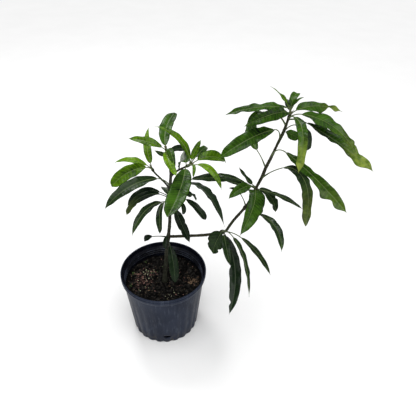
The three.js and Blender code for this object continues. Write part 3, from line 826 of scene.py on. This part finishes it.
def floor_look():
    return plain_look("floor", 0, (3, 2, 0.3, 0.7), (0.88, 0.88, 0.88), (0.90, 0.90, 0.90),
                      roughness=0.9)


# ---- wood


class Path:
    """A smooth curve through points, read by the fraction of its length."""

    def __init__(self, points):
        knots = [np.array(point, float) for point in points]
        knots = [2 * knots[0] - knots[1], *knots, 2 * knots[-1] - knots[-2]]
        dense = [self.stretch(*knots[i:i + 4]) for i in range(len(knots) - 3)]
        self.points = np.concatenate([*dense, [knots[-2]]])
        steps = np.linalg.norm(np.diff(self.points, axis=0), axis=1)
        marks = np.concatenate([[0], np.cumsum(steps)])
        self.length = marks[-1]
        self.marks = marks / self.length

    @staticmethod
    def stretch(before, start, end, after, samples=40):
        """One centripetal Catmull-Rom stretch, without its last point."""
        d0, d1, d2 = (np.linalg.norm(b - a) ** 0.5
                      for a, b in ((before, start), (start, end), (end, after)))
        leave = (start - before) / d0 - (end - before) / (d0 + d1) + (end - start) / d1
        arrive = (end - start) / d1 - (after - start) / (d1 + d2) + (after - end) / d2
        leave, arrive = leave * d1, arrive * d1
        t = np.linspace(0, 1, samples, endpoint=False)[:, None]
        bend = 3 * (end - start) - 2 * leave - arrive
        ease_in = leave + arrive - 2 * (end - start)
        return start + leave * t + bend * t ** 2 + ease_in * t ** 3

    def at(self, t):
        return np.stack([np.interp(t, self.marks, self.points[:, axis]) for axis in range(3)], -1)

    def forward(self, t):
        """The curve's direction, taken over a millimetre each way."""
        reach = 1 / self.length
        step = self.at(np.minimum(t + reach, 1)) - self.at(np.maximum(t - reach, 0))
        return step / np.linalg.norm(step, axis=-1, keepdims=True)


PATHS = {name: Path(limb["axis"]) for name, limb in LIMBS.items()}


def limb_radius(name, t):
    """The limb's radius at a fraction of its length, with the root flare and its knuckles."""
    limb = LIMBS[name]
    radius = mix(*limb["radii"], t)
    radius = radius + limb.get("flare", 0) * np.exp(-t * PATHS[name].length / FLARE_REACH)
    for on, start, end, *_ in WHORLS.values():
        if on == name:
            middle = np.clip((t - start) / (end - start), 0, 1)
            knuckle = COLLAR_LIP + COLLAR_THICKNESS * np.sin(math.pi * middle)
            rising = ease(start - KNUCKLE_OUTSIDE, start + KNUCKLE_INSIDE, t)
            inside = rising * (1 - ease(end - KNUCKLE_INSIDE, end + KNUCKLE_OUTSIDE, t))
            radius = radius + knuckle * inside * limb["knuckle"]
    return radius


def wood_rings(name, seed, ridge_depth, ridge_length, scar_height, scar_spacing):
    """Rings of points for one limb: ridges that run with the grain, and old leaf scars."""
    path = PATHS[name]
    draw = seeded(seed)
    scars = [((k + 0.5 + SCAR_JITTER * draw()) * scar_spacing / path.length, k * GOLDEN_ANGLE)
             for k in range(int(path.length / scar_spacing))]
    turns = round_turns(LIMB_SIDES)
    rows = []
    for t in np.linspace(0, 1, int(path.length / LIMB_STEP) + 1):
        distance = t * path.length
        radius = np.full(LIMB_SIDES, limb_radius(name, t))
        for side, turn in enumerate(turns):
            spot = (math.cos(turn) * RIDGE_TURN, math.sin(turn) * RIDGE_TURN,
                    distance / ridge_length + seed)
            radius[side] += ridge_depth * noise.fractal(spot, *RIDGE_FRACTAL)
        for place, heading in scars:
            away = (distance - place * path.length) / SCAR_LENGTH
            if abs(away) < SCAR_END:
                aside = ((turns - heading + math.pi) % TURN - math.pi) / SCAR_WIDTH
                radius += scar_height * math.exp(-away ** 2) * np.exp(-aside ** 2)
        # The trunk's first ring is level, since the mix cuts it off.
        forward = (0, 0, 1) if name == "trunk" and t == 0 else path.forward(t)
        across = np.cross((0, 1, 0), forward)
        across = across / np.linalg.norm(across)
        rows.append(ring(path.at(t), across, np.cross(forward, across), radius, LIMB_SIDES))
    return np.array(rows)


def rounded_end(rows):
    """The rings with a few more that close over the last one."""
    last, before = rows[-1], rows[-2]
    centre = last.mean(0)
    forward = centre - before.mean(0)
    forward /= np.linalg.norm(forward)
    radius = np.linalg.norm(last - centre, axis=1).mean()
    domes = [centre + (last - centre) * math.cos(angle) + forward * radius * math.sin(angle)
             for angle in DOME_ANGLES]
    return np.concatenate([rows, domes])


def make_wood():
    """The trunk, the long bough in its three stretches, and the three twigs."""
    looks = {"bark": old_bark(), "young_bark": young_bark()}
    for name, (slot, limbs, first_seed, relief) in BARK.items():
        pile = Pile()
        for seed, limb in enumerate(limbs, first_seed):
            pile.skin(rounded_end(wood_rings(limb, seed, *relief)))
        piece = pile.piece(name, [looks[slot]])
        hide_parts(*limbs)


def make_buds():
    """A bud of small pointed scales on each tip and in each knuckle."""
    pile = Pile()
    for seed, (limb, t, size) in enumerate(BUDS, BUD_SEED):
        axis = Vector(PATHS[limb].forward(t))
        draw = seeded(seed)
        for scale in range(BUD_SCALES):
            lean = BUD_LEAN + BUD_OPENING * scale / BUD_SCALES * draw()
            aside = axis.orthogonal().normalized()
            aside.rotate(Matrix.Rotation(scale * GOLDEN_ANGLE, 3, axis))
            way = (axis * math.cos(lean) + aside * math.sin(lean)).normalized()
            across = way.cross(aside).normalized()
            along = way.cross(across) * SCALE_FLATNESS
            root = Vector(PATHS[limb].at(t)) + aside * BUD_ASIDE - axis * BUD_SINKING
            length = size * mix(*SCALE_LENGTHS, draw())
            radii = [max(SCALE_TIP, length * SCALE_WIDTH * part ** SCALE_FULLNESS)
                     for part in swelling(*SCALE_SWELLING)]
            pile.skin(spindle(root, way * length, across, along, radii))
    piece = pile.piece("buds", [bud_look()])


# ---- leaves


def blade_outline(s, taper):
    """Half the blade's width as a part of its greatest: blunt at the base, with a fine tip."""
    widest = BASE_BLUNTNESS / (BASE_BLUNTNESS + taper)
    greatest = widest ** BASE_BLUNTNESS * (1 - widest) ** taper
    tip = 1 - np.clip((s - TIP_START) / (1 - TIP_START), 0, 1) ** (TIP_CURVE / taper)
    return s ** BASE_BLUNTNESS * (1 - s) ** taper / greatest * tip


def pointing(turns, elevations):
    """Directions at headings and elevations."""
    return np.stack([np.cos(elevations) * np.cos(turns),
                     np.cos(elevations) * np.sin(turns), np.sin(elevations)], -1)


def walk(start, turns, elevations, step):
    """Points from a start, one step along each heading and elevation."""
    steps = step * pointing(turns, elevations)
    return start + np.concatenate([[np.zeros(3)], np.cumsum(steps, axis=0)])


def frames(turns, elevations, tilts):
    """Sideways and upward directions of a leaf at each station, rolled by its tilt."""
    forward = pointing(turns, elevations)
    level = np.stack([-np.sin(turns), np.cos(turns), np.zeros_like(turns)], -1)
    risen = np.cross(forward, level)
    cos, sin = np.cos(tilts)[:, None], np.sin(tilts)[:, None]
    side = level * cos + risen * sin
    return side, np.cross(forward, side)


def grow_leaf(root, shape, tilt):
    """One leaf's petiole and blade: stations from inside the wood to the tip."""
    heading, rise, lift, droop, sweep = (
        math.radians(shape[key]) for key in ("heading", "rise", "lift", "droop", "sweep"))
    part = (np.arange(PETIOLE_STEPS) + 0.5) / PETIOLE_STEPS
    bow = rise + lift * (1 - part)
    level = np.full(PETIOLE_STEPS, heading)
    petiole = walk(root, level, bow, shape["petiole"] / PETIOLE_STEPS)

    steps = max(LEAST_STEPS, round(shape["length"] / BLADE_STEP))
    middle = (np.arange(steps) + 0.5) / steps
    blade = walk(petiole[-1], heading + sweep * middle, rise - droop * middle,
                 shape["length"] / steps)

    s = np.linspace(0, 1, steps + 1)
    tilts = tilt * np.minimum(1, s / ROLL_REACH)
    side, above = frames(heading + sweep * s, rise - droop * s, tilts)
    return {**shape, "stalk": petiole, "bow": bow, "blade": blade, "s": s, "side": side,
            "above": above, "lightness": list(TONES).index(shape["tone"]) / (len(TONES) - 1)}


def blade_width(grown, s, v, half, phases):
    """Half the blade's width at each point, ragged and with its flaws."""
    ragged = np.sin(TURN * s * grown["length"] / RAGGED_LENGTH + phases)
    width = BREADTH * half * (1 + RAGGED * ragged * np.sin(math.pi * s))
    for edge, place, reach, change in grown["flaws"]:
        bump = change * np.exp(-((s - place) / reach) ** 2)
        width = width * np.where(v * edge > 0, 1 + bump, 1)
    return width


def blade_rows(grown, v):
    """The blade's upper and lower points, with a fold, waves and panels between its side veins."""
    s, length, out = grown["s"][:, None], grown["length"], np.abs(v)
    outline = blade_outline(s, grown["taper"])
    half = np.maximum(outline * length * grown["slender"] / 2, LEAST_HALF)
    room = np.minimum(1, half / FULL_WAVE_HALF)
    run = s * length
    # The ragged edge, the waves and the ripples on them run out of step.
    phase = grown["seed"] * LEAF_PHASE
    edge = np.where(v < 0, 0.0, EDGE_PHASE)
    width = blade_width(grown, s, v, half, phase * 2 + edge)
    waves = (np.sin(TURN * run / WAVE_LENGTH + phase + edge)
             + RIPPLE_HEIGHT * np.sin(TURN * run / RIPPLE_LENGTH + phase * 3 + edge * 2))
    height = grown["waviness"] * WAVE_HEIGHT * room
    wave = height * out ** 2 * waves * np.sin(math.pi * s) ** 0.5
    swell = np.cos(TURN * (run - out * half * VEIN_SLANT) / VEIN_SPACING)
    halfway = 4 * out * (1 - out)
    quilt = -QUILT * room * halfway * swell
    arched = (1 + ARCH) * out - ARCH * v ** 2
    lifted = grown["fold"] * half * arched + wave + quilt
    above = grown["above"][:, None]
    top = (grown["blade"][:, None] + grown["side"][:, None] * (v * width)[..., None]
           + above * lifted[..., None])
    skin = BLADE_SKIN * (1 - out ** 4)
    return half, top, top - above * skin[None, :, None]


def add_blade(pile, grown, cell, cells):
    """A closed blade: its upper side in slot 0 and its underside in slot 1."""
    v = np.linspace(-1, 1, BLADE_COLUMNS)
    v = np.sign(v) * np.abs(v) ** EDGE_CROWDING
    half, top, under = blade_rows(grown, v)
    across = np.concatenate([v, v[-2:0:-1]])
    wide = len(across)
    near = np.arange(wide)
    below = near >= BLADE_COLUMNS - 1
    down = grown["s"][:, None]
    # The first map is in side veins. In the second, each leaf has a cell of the baked image, with
    # its upper side in the left half and its underside, mirrored, in the right one.
    blade_map, strip = [], []
    for pick in (near, (near + 1) % wide):
        aside = across[pick] * half / VEIN_SPACING
        along = np.broadcast_to(down * grown["length"] / VEIN_SPACING, aside.shape)
        blade_map.append(np.stack([aside, along], -1))
        part = 0.25 + 0.5 * below + (0.25 - 2 * BAKE_MARGIN) * across[pick] * np.where(below, -1, 1)
        strip.append(np.stack(np.broadcast_arrays(
            (cell + part) / cells, BAKE_MARGIN + (1 - 2 * BAKE_MARGIN) * down), -1))
    pale = grown["pale"] * ease(PALE_FROM, PALE_TO, grown["s"])
    pile.skin(np.concatenate([top, under[:, -2:0:-1]], axis=1), slot=below.astype(int),
              capped=False, maps={"blade": blade_map, "OFBake": strip},
              values={"pale": np.repeat(pale, wide)})


def add_stalk(pile, points, side, above, radii, lightness):
    """A thin round stalk, such as a petiole or a midrib, closed at both ends."""
    rows = [ring(p, a, b, radius, STALK_SIDES)
            for p, a, b, radius in zip(points, side, above, radii)]
    pile.skin(rows, values={"lightness": np.full(len(rows) * STALK_SIDES, lightness)})


def add_petiole(pile, grown):
    """From a swollen foot in the wood to the blade's base."""
    bow = np.append(grown["bow"], grown["bow"][-1])
    turns = np.full(len(bow), math.radians(grown["heading"]))
    side, above = frames(turns, bow, np.zeros(len(bow)))
    swollen = 1 - ease(*PULVINUS_END, np.linspace(0, 1, len(bow)))
    radii = PETIOLE_RADIUS + (PULVINUS_RADIUS - PETIOLE_RADIUS) * swollen
    add_stalk(pile, grown["stalk"], side, above, radii, grown["lightness"])


def add_midrib(pile, grown):
    """Runs down the fold of the blade, proud on both sides and fine at the tip."""
    thick = MIDRIB_RADIUS[0] * min(1, grown["length"] / MIDRIB_FULL_LENGTH)
    radii = mix(thick, MIDRIB_RADIUS[1], grown["s"])
    points = grown["blade"] + grown["above"] * MIDRIB_LIFT * radii[:, None]
    add_stalk(pile, points[:-1], grown["side"][:-1], grown["above"][:-1], radii[:-1],
              grown["lightness"])


def make_leaves():
    """Every whorl's leaves, gathered by tone, with all petioles and all midribs apart."""
    leaves = {tone: [] for tone in TONES}
    masses = {tone: set() for tone in TONES}
    petioles, midribs = Pile(), Pile()
    for seed, (mass, whorl) in enumerate(WHORLS.items(), FIRST_WHORL_SEED):
        limb, start, end, waviness, shapes = whorl
        draw = seeded(seed)
        for index, shape in enumerate(shapes):
            root = PATHS[limb].at(mix(start, end, (index + 0.5) / len(shapes)))
            tilt = math.radians(shape["roll"] + mix(-TILT_JITTER, TILT_JITTER, draw()))
            grown = grow_leaf(root, shape, tilt)
            grown["seed"] = seed + SEED_STEP * index
            grown["waviness"] = waviness
            leaves[shape["tone"]].append(grown)
            masses[shape["tone"]].add(mass)
            add_petiole(petioles, grown)
            add_midrib(midribs, grown)
    for tone, alike in leaves.items():
        pile = Pile()
        for cell, grown in enumerate(alike):
            add_blade(pile, grown, cell, len(alike))
        piece = pile.piece(f"blades_{tone}", [leaf_upper(tone), leaf_under(tone)])
        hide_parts(*sorted(masses[tone]))
    for pile, name, look in ((petioles, "petioles", petiole_look()),
                             (midribs, "midribs", midrib_look())):
        piece = pile.piece(name, [look])
        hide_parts(*WHORLS)


# ---- pot


def pot_radius(z, groove):
    """Radius of the pot's body at a height, from a flute's crest (0) to its groove (1)."""
    plain = mix(POT_FOOT_RADIUS, POT_NECK_RADIUS, z / NECK_Z)
    return plain - groove * FLUTE_DEPTH * (1 - z / NECK_Z)


def inner_radius(z):
    """Radius of the pot's inside below the band, with a few shallow ribs round it."""
    ribs = sum(RIB_DEPTH * math.exp(-((z - height) / RIB_REACH) ** 2) for height in RIB_HEIGHTS)
    return pot_radius(z, 1) - POT_WALL - ribs


def band(rows):
    """Radii and heights of the band's rows."""
    return [(POT_RIM_RADIUS - inset, POT_HEIGHT - depth) for inset, depth in rows]


def pot_outline(grooves):
    """The outer and the inner outline: each row's radius, which may follow the flutes, and z."""
    foot = pot_radius(0, grooves)
    outer = [(FLOOR_CENTRE, UNDERSIDE_RISE),
             (POT_FOOT_RADIUS - STANDING_RING - STANDING_SLOPE, UNDERSIDE_RISE),
             (POT_FOOT_RADIUS - STANDING_RING, 0), (foot - FOOT_ROUNDING, 0),
             (foot - FOOT_ROUNDING * CORNER_CUT, FOOT_ROUNDING * CORNER_CUT)]
    for part in np.linspace(0, 1, BODY_ROWS) ** BODY_CROWDING:
        z = mix(FOOT_ROUNDING, BODY_TOP, part)
        outer.append((pot_radius(z, grooves), z))
    levels = np.arange(INSIDE_TOP, SOIL_LEVEL - INSIDE_BELOW_SOIL, -INSIDE_STEP)
    inner = [*band(BAND_INSIDE), *((inner_radius(z), z) for z in levels),
             (inner_radius(POT_FLOOR), POT_FLOOR), (FLOOR_CENTRE, POT_FLOOR)]
    return outer + band(BAND_OUTSIDE), inner


def drain_cutters():
    """Oval plugs for the drain holes, as one mesh."""
    pile = Pile()
    for index in range(DRAIN_COUNT):
        out, aside = compass(math.radians(DRAIN_FIRST + index * 360 / DRAIN_COUNT))
        centre = out * pot_radius(DRAIN_Z, 0) + (0, 0, DRAIN_Z)
        wide, tall = aside * DRAIN_WIDTH / 2, np.array([0, 0, DRAIN_HEIGHT / 2])
        pile.skin([ring(centre + out * reach, wide, tall, 1, DRAIN_SIDES)
                   for reach in (-DRAIN_REACH, DRAIN_REACH)])
    return pile.piece("drain_cutter", [])


def cut_out(piece, cutter):
    """Takes the cutter's shape out of the piece's mesh, and the cutter away."""
    cut = piece.modifiers.new("cut", "BOOLEAN")
    cut.operation = "DIFFERENCE"
    cut.object = cutter
    cut.solver = "EXACT"
    bpy.context.view_layer.update()
    depsgraph = bpy.context.evaluated_depsgraph_get()
    mesh = bpy.data.meshes.new_from_object(piece.evaluated_get(depsgraph))
    piece.modifiers.clear()
    piece.data = mesh
    bpy.data.objects.remove(cutter)


def make_pot():
    """The fluted pot with its rim band, ribbed inside and drain holes."""
    turns = round_turns(FLUTES * SEGMENTS_PER_FLUTE)
    outer, inner = pot_outline(((1 - np.cos(FLUTES * turns)) / 2) ** FLUTE_SHARPNESS)
    rows = [level_ring(radii, z, turns) for radii, z in outer + inner]
    tops = np.array([z for _, z in outer + inner])[1:]
    # Rows at the ribs' crests take a paler, bluer plastic, which is a painted highlight.
    crest = np.min([np.abs(tops - height) for height in RIB_HEIGHTS], axis=0) < RIB_CREST
    # Rows inside take the darker plastic, which is painted shade.
    inside = np.arange(len(tops)) > len(outer)
    slots = inside.astype(int) + (inside & crest)
    pile = Pile()
    pile.skin(rows, slot=slots[:, None])
    piece = pile.piece("pot_shell", [pot_plastic(), pot_inside_painted_shade(), pot_rib_painted_highlight()])
    cut_out(piece, drain_cutters())
    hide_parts("pot")


# ---- soil


def soil_height(x, y):
    """Height of the mix: lumpy, lower at the wall, level at the trunk."""
    out = math.hypot(x, y)
    lump = noise.fractal((x / LUMP_SIZE, y / LUMP_SIZE, LUMP_SLICE), *LUMP_FRACTAL)
    grain = noise.noise((x / GRAIN_SIZE, y / GRAIN_SIZE, GRAIN_SLICE))
    rough = float(ease(*SOIL_CALM, out)) * (LUMP_HEIGHT * lump + GRAIN_HEIGHT * grain)
    return SOIL_LEVEL - SOIL_SINKING + rough - SOIL_EDGE_DROP * float(ease(*SOIL_EDGE, out))


def make_soil_top():
    """The mix as a plug with a crumbly top."""
    reach = inner_radius(SOIL_LEVEL - SOIL_EDGE_DROP) - GAP
    foot = inner_radius(POT_FLOOR) - SOIL_FOOT_GAP
    turns = round_turns(SOIL_SIDES)
    rows = [level_ring(foot * part, POT_FLOOR + GAP, turns) for part in (SOIL_FOOT_CENTRE, 1)]
    for part in np.linspace(1, SOIL_CENTRE, SOIL_RINGS):
        points = [(reach * part * math.cos(turn), reach * part * math.sin(turn)) for turn in turns]
        rows.append([(x, y, soil_height(x, y)) for x, y in points])
    pile = Pile()
    pile.skin(rows)
    look = mix_look("mix_dark", (0.0015, 0.0014, 0.0014), (0.008, 0.007, 0.006), 0.95)
    piece = pile.piece("soil_top", [look])
    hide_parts("soil")


def shard(draw, size, x, y, tilt):
    """A chip's corners: a box that is shaken and lies more or less flat on the mix."""
    shaken = [Vector([side * mix(least, 1.0, draw()) * extent / 2
                      for side, least, extent in zip(corner, SHARD_CORNERS, size)])
              for corner in BLOCK_CORNERS]
    turn = (Matrix.Rotation(TURN * draw(), 3, "Z")
            @ Matrix.Rotation(mix(-tilt, tilt, draw()), 3, "X")
            @ Matrix.Rotation(mix(-tilt, tilt, draw()), 3, "Y"))
    lie = Vector((x, y, soil_height(x, y) + size[2] * SHARD_LIFT))
    return [tuple(turn @ corner + lie) for corner in shaken]


def on_mix(x, y, reach=CHIP_REACH):
    """Whether a place is clear of the trunk and within reach of the pot's axis."""
    return TRUNK_CLEARANCE < math.hypot(x, y) < reach


def scattered(draw):
    """A place on the mix, spread evenly over its round."""
    while True:
        x, y = mix(-CHIP_REACH, CHIP_REACH, draw()), mix(-CHIP_REACH, CHIP_REACH, draw())
        if on_mix(x, y):
            return x, y


def about(draw, spot):
    """A place near a spot, likeliest at its middle."""
    x, y, reach = spot
    return x + reach * (draw() + draw() - 1), y + reach * (draw() + draw() - 1)


def about_each(draw, spots, reach):
    """Places near each of the spots, as many as it asks for, less those that leave the mix."""
    for *spot, count in spots:
        for _ in range(count):
            x, y = about(draw, spot)
            if on_mix(x, y, reach):
                yield x, y


def make_chips():
    """Bark and peat: mostly dark, with a redder patch to the left and a tan one to the right."""
    for seed, (name, (count, lengths, dark, light, patch)) in enumerate(CHIPS.items(), CHIP_SEED):
        draw = seeded(seed)
        pile = Pile()
        for _ in range(count):
            x, y = scattered(draw)
            if patch and draw() < PATCH_SHARE:
                x, y = about(draw, patch)
                if not on_mix(x, y):
                    continue
            long = mix(*lengths, draw() ** CHIP_FINENESS)
            size = (long, long * mix(*CHIP_WIDTHS, draw()), mix(*CHIP_THICKNESS, draw()))
            pile.block(shard(draw, size, x, y, CHIP_TILT))
        piece = pile.piece(name, [mix_look(f"mix_{name}", dark, light)], smooth=False)


def make_perlite():
    """White grains, thickest in a few spots."""
    draw = seeded(PERLITE_SEED)
    pile = Pile()
    for x, y in about_each(draw, PERLITE, PERLITE_REACH):
        long = mix(*GRAIN_LENGTHS, draw() ** GRAIN_FINENESS)
        size = (long, long * mix(*GRAIN_WIDTHS, draw()), long * mix(*GRAIN_THICKNESS, draw()))
        pile.block(shard(draw, size, x, y, GRAIN_TILT))
    look = mix_look("perlite", (0.24, 0.25, 0.15), (0.60, 0.60, 0.42))
    piece = pile.piece("perlite", [look], smooth=False)


def make_sprouts():
    """Small green seedlings with two rounded leaves each."""
    draw = seeded(SPROUT_SEED)
    pile = Pile()
    turns = round_turns(SPROUT_SIDES)
    for x, y in about_each(draw, SPROUTS, SPROUT_REACH):
        base = np.array([x, y, soil_height(x, y) + SPROUT_LIFT])
        tall = mix(*SPROUT_HEIGHTS, draw())
        turn = TURN * draw()
        for heading in (turn, turn + math.pi):
            out, aside = compass(heading, SPROUT_RISE)
            reach = mix(*SPROUT_LEAVES, draw())
            radii = [max(SPROUT_TIP, reach * SPROUT_BREADTH * part)
                     for part in swelling(*SPROUT_SWELLING)]
            upward = (0, 0, SPROUT_RISE)
            pile.skin(spindle(base + (0, 0, tall), out * reach, aside, upward, radii))
        pile.skin([level_ring(SPROUT_STEM, tall * part, turns) + base for part in SPROUT_RINGS])
    piece = pile.piece("sprouts", [sprout_look()])


# ---- stage


def studio_world():
    """Soft light from all round, in front of a backdrop as pale as the floor."""
    world = bpy.data.worlds.new("studio")
    world.use_nodes = True
    nodes, links = world.node_tree.nodes, world.node_tree.links
    glow = nodes["Background"]
    backdrop = nodes.new("ShaderNodeBackground")
    for light, strength in ((glow, GLOW), (backdrop, BACKDROP)):
        light.inputs["Color"].default_value = (1, 1, 1, 1)
        light.inputs["Strength"].default_value = strength
    choice = nodes.new("ShaderNodeMixShader")
    links.new(nodes.new("ShaderNodeLightPath").outputs["Is Camera Ray"], choice.inputs[0])
    links.new(glow.outputs[0], choice.inputs[1])
    links.new(backdrop.outputs[0], choice.inputs[2])
    links.new(choice.outputs[0], nodes["World Output"].inputs["Surface"])
    return world


def make_stage():
    """The floor, the light and the camera."""
    scene = bpy.context.scene
    scene.view_settings.view_transform = "Standard"
    scene.world = studio_world()
    make_floor()
    make_lights(scene)
    make_camera(scene)


def make_floor():
    """A pale floor that runs out of sight."""
    bpy.ops.mesh.primitive_plane_add(size=FLOOR_SIZE)
    floor = bpy.context.object
    floor.name = "floor"
    floor.data.materials.append(floor_look())


def make_lights(scene):
    """A wide sun from above, a soft fill from the camera's side and a sheen from behind."""
    for name, (kind, energy, size, place) in LIGHTS.items():
        light = bpy.data.lights.new(name, kind)
        light.energy = energy
        if kind == "SUN":
            light.angle = math.radians(size)
        else:
            light.size = size
        lamp = bpy.data.objects.new(name, light)
        lamp.location = place
        toward = Vector(LIGHTS_AIM) - Vector(place)
        lamp.rotation_euler = toward.to_track_quat("-Z", "Y").to_euler()
        scene.collection.objects.link(lamp)


def make_camera(scene):
    """The camera, turned by its yaw, then its pitch, then its roll."""
    yaw, pitch, roll = (math.radians(a) for a in (CAMERA_YAW, CAMERA_PITCH, CAMERA_ROLL))
    forward = Vector((math.sin(yaw) * math.cos(pitch), math.cos(yaw) * math.cos(pitch),
                      -math.sin(pitch)))
    level = Vector((math.cos(yaw), -math.sin(yaw), 0))
    risen = level.cross(forward)
    right = level * math.cos(roll) + risen * math.sin(roll)
    up = right.cross(forward)
    camera = bpy.data.objects.new("camera", bpy.data.cameras.new("camera"))
    camera.data.lens = CAMERA_LENS
    camera.data.sensor_width = SENSOR_WIDTH
    turned = Matrix((right, up, -forward)).transposed().to_4x4()
    camera.matrix_world = Matrix.Translation(Vector(CAMERA_PLACE) * MM) @ turned
    scene.collection.objects.link(camera)
    scene.camera = camera


make_stage()
make_pot()
make_soil_top()
make_chips()
make_perlite()
make_sprouts()
make_wood()
make_leaves()
make_buds()
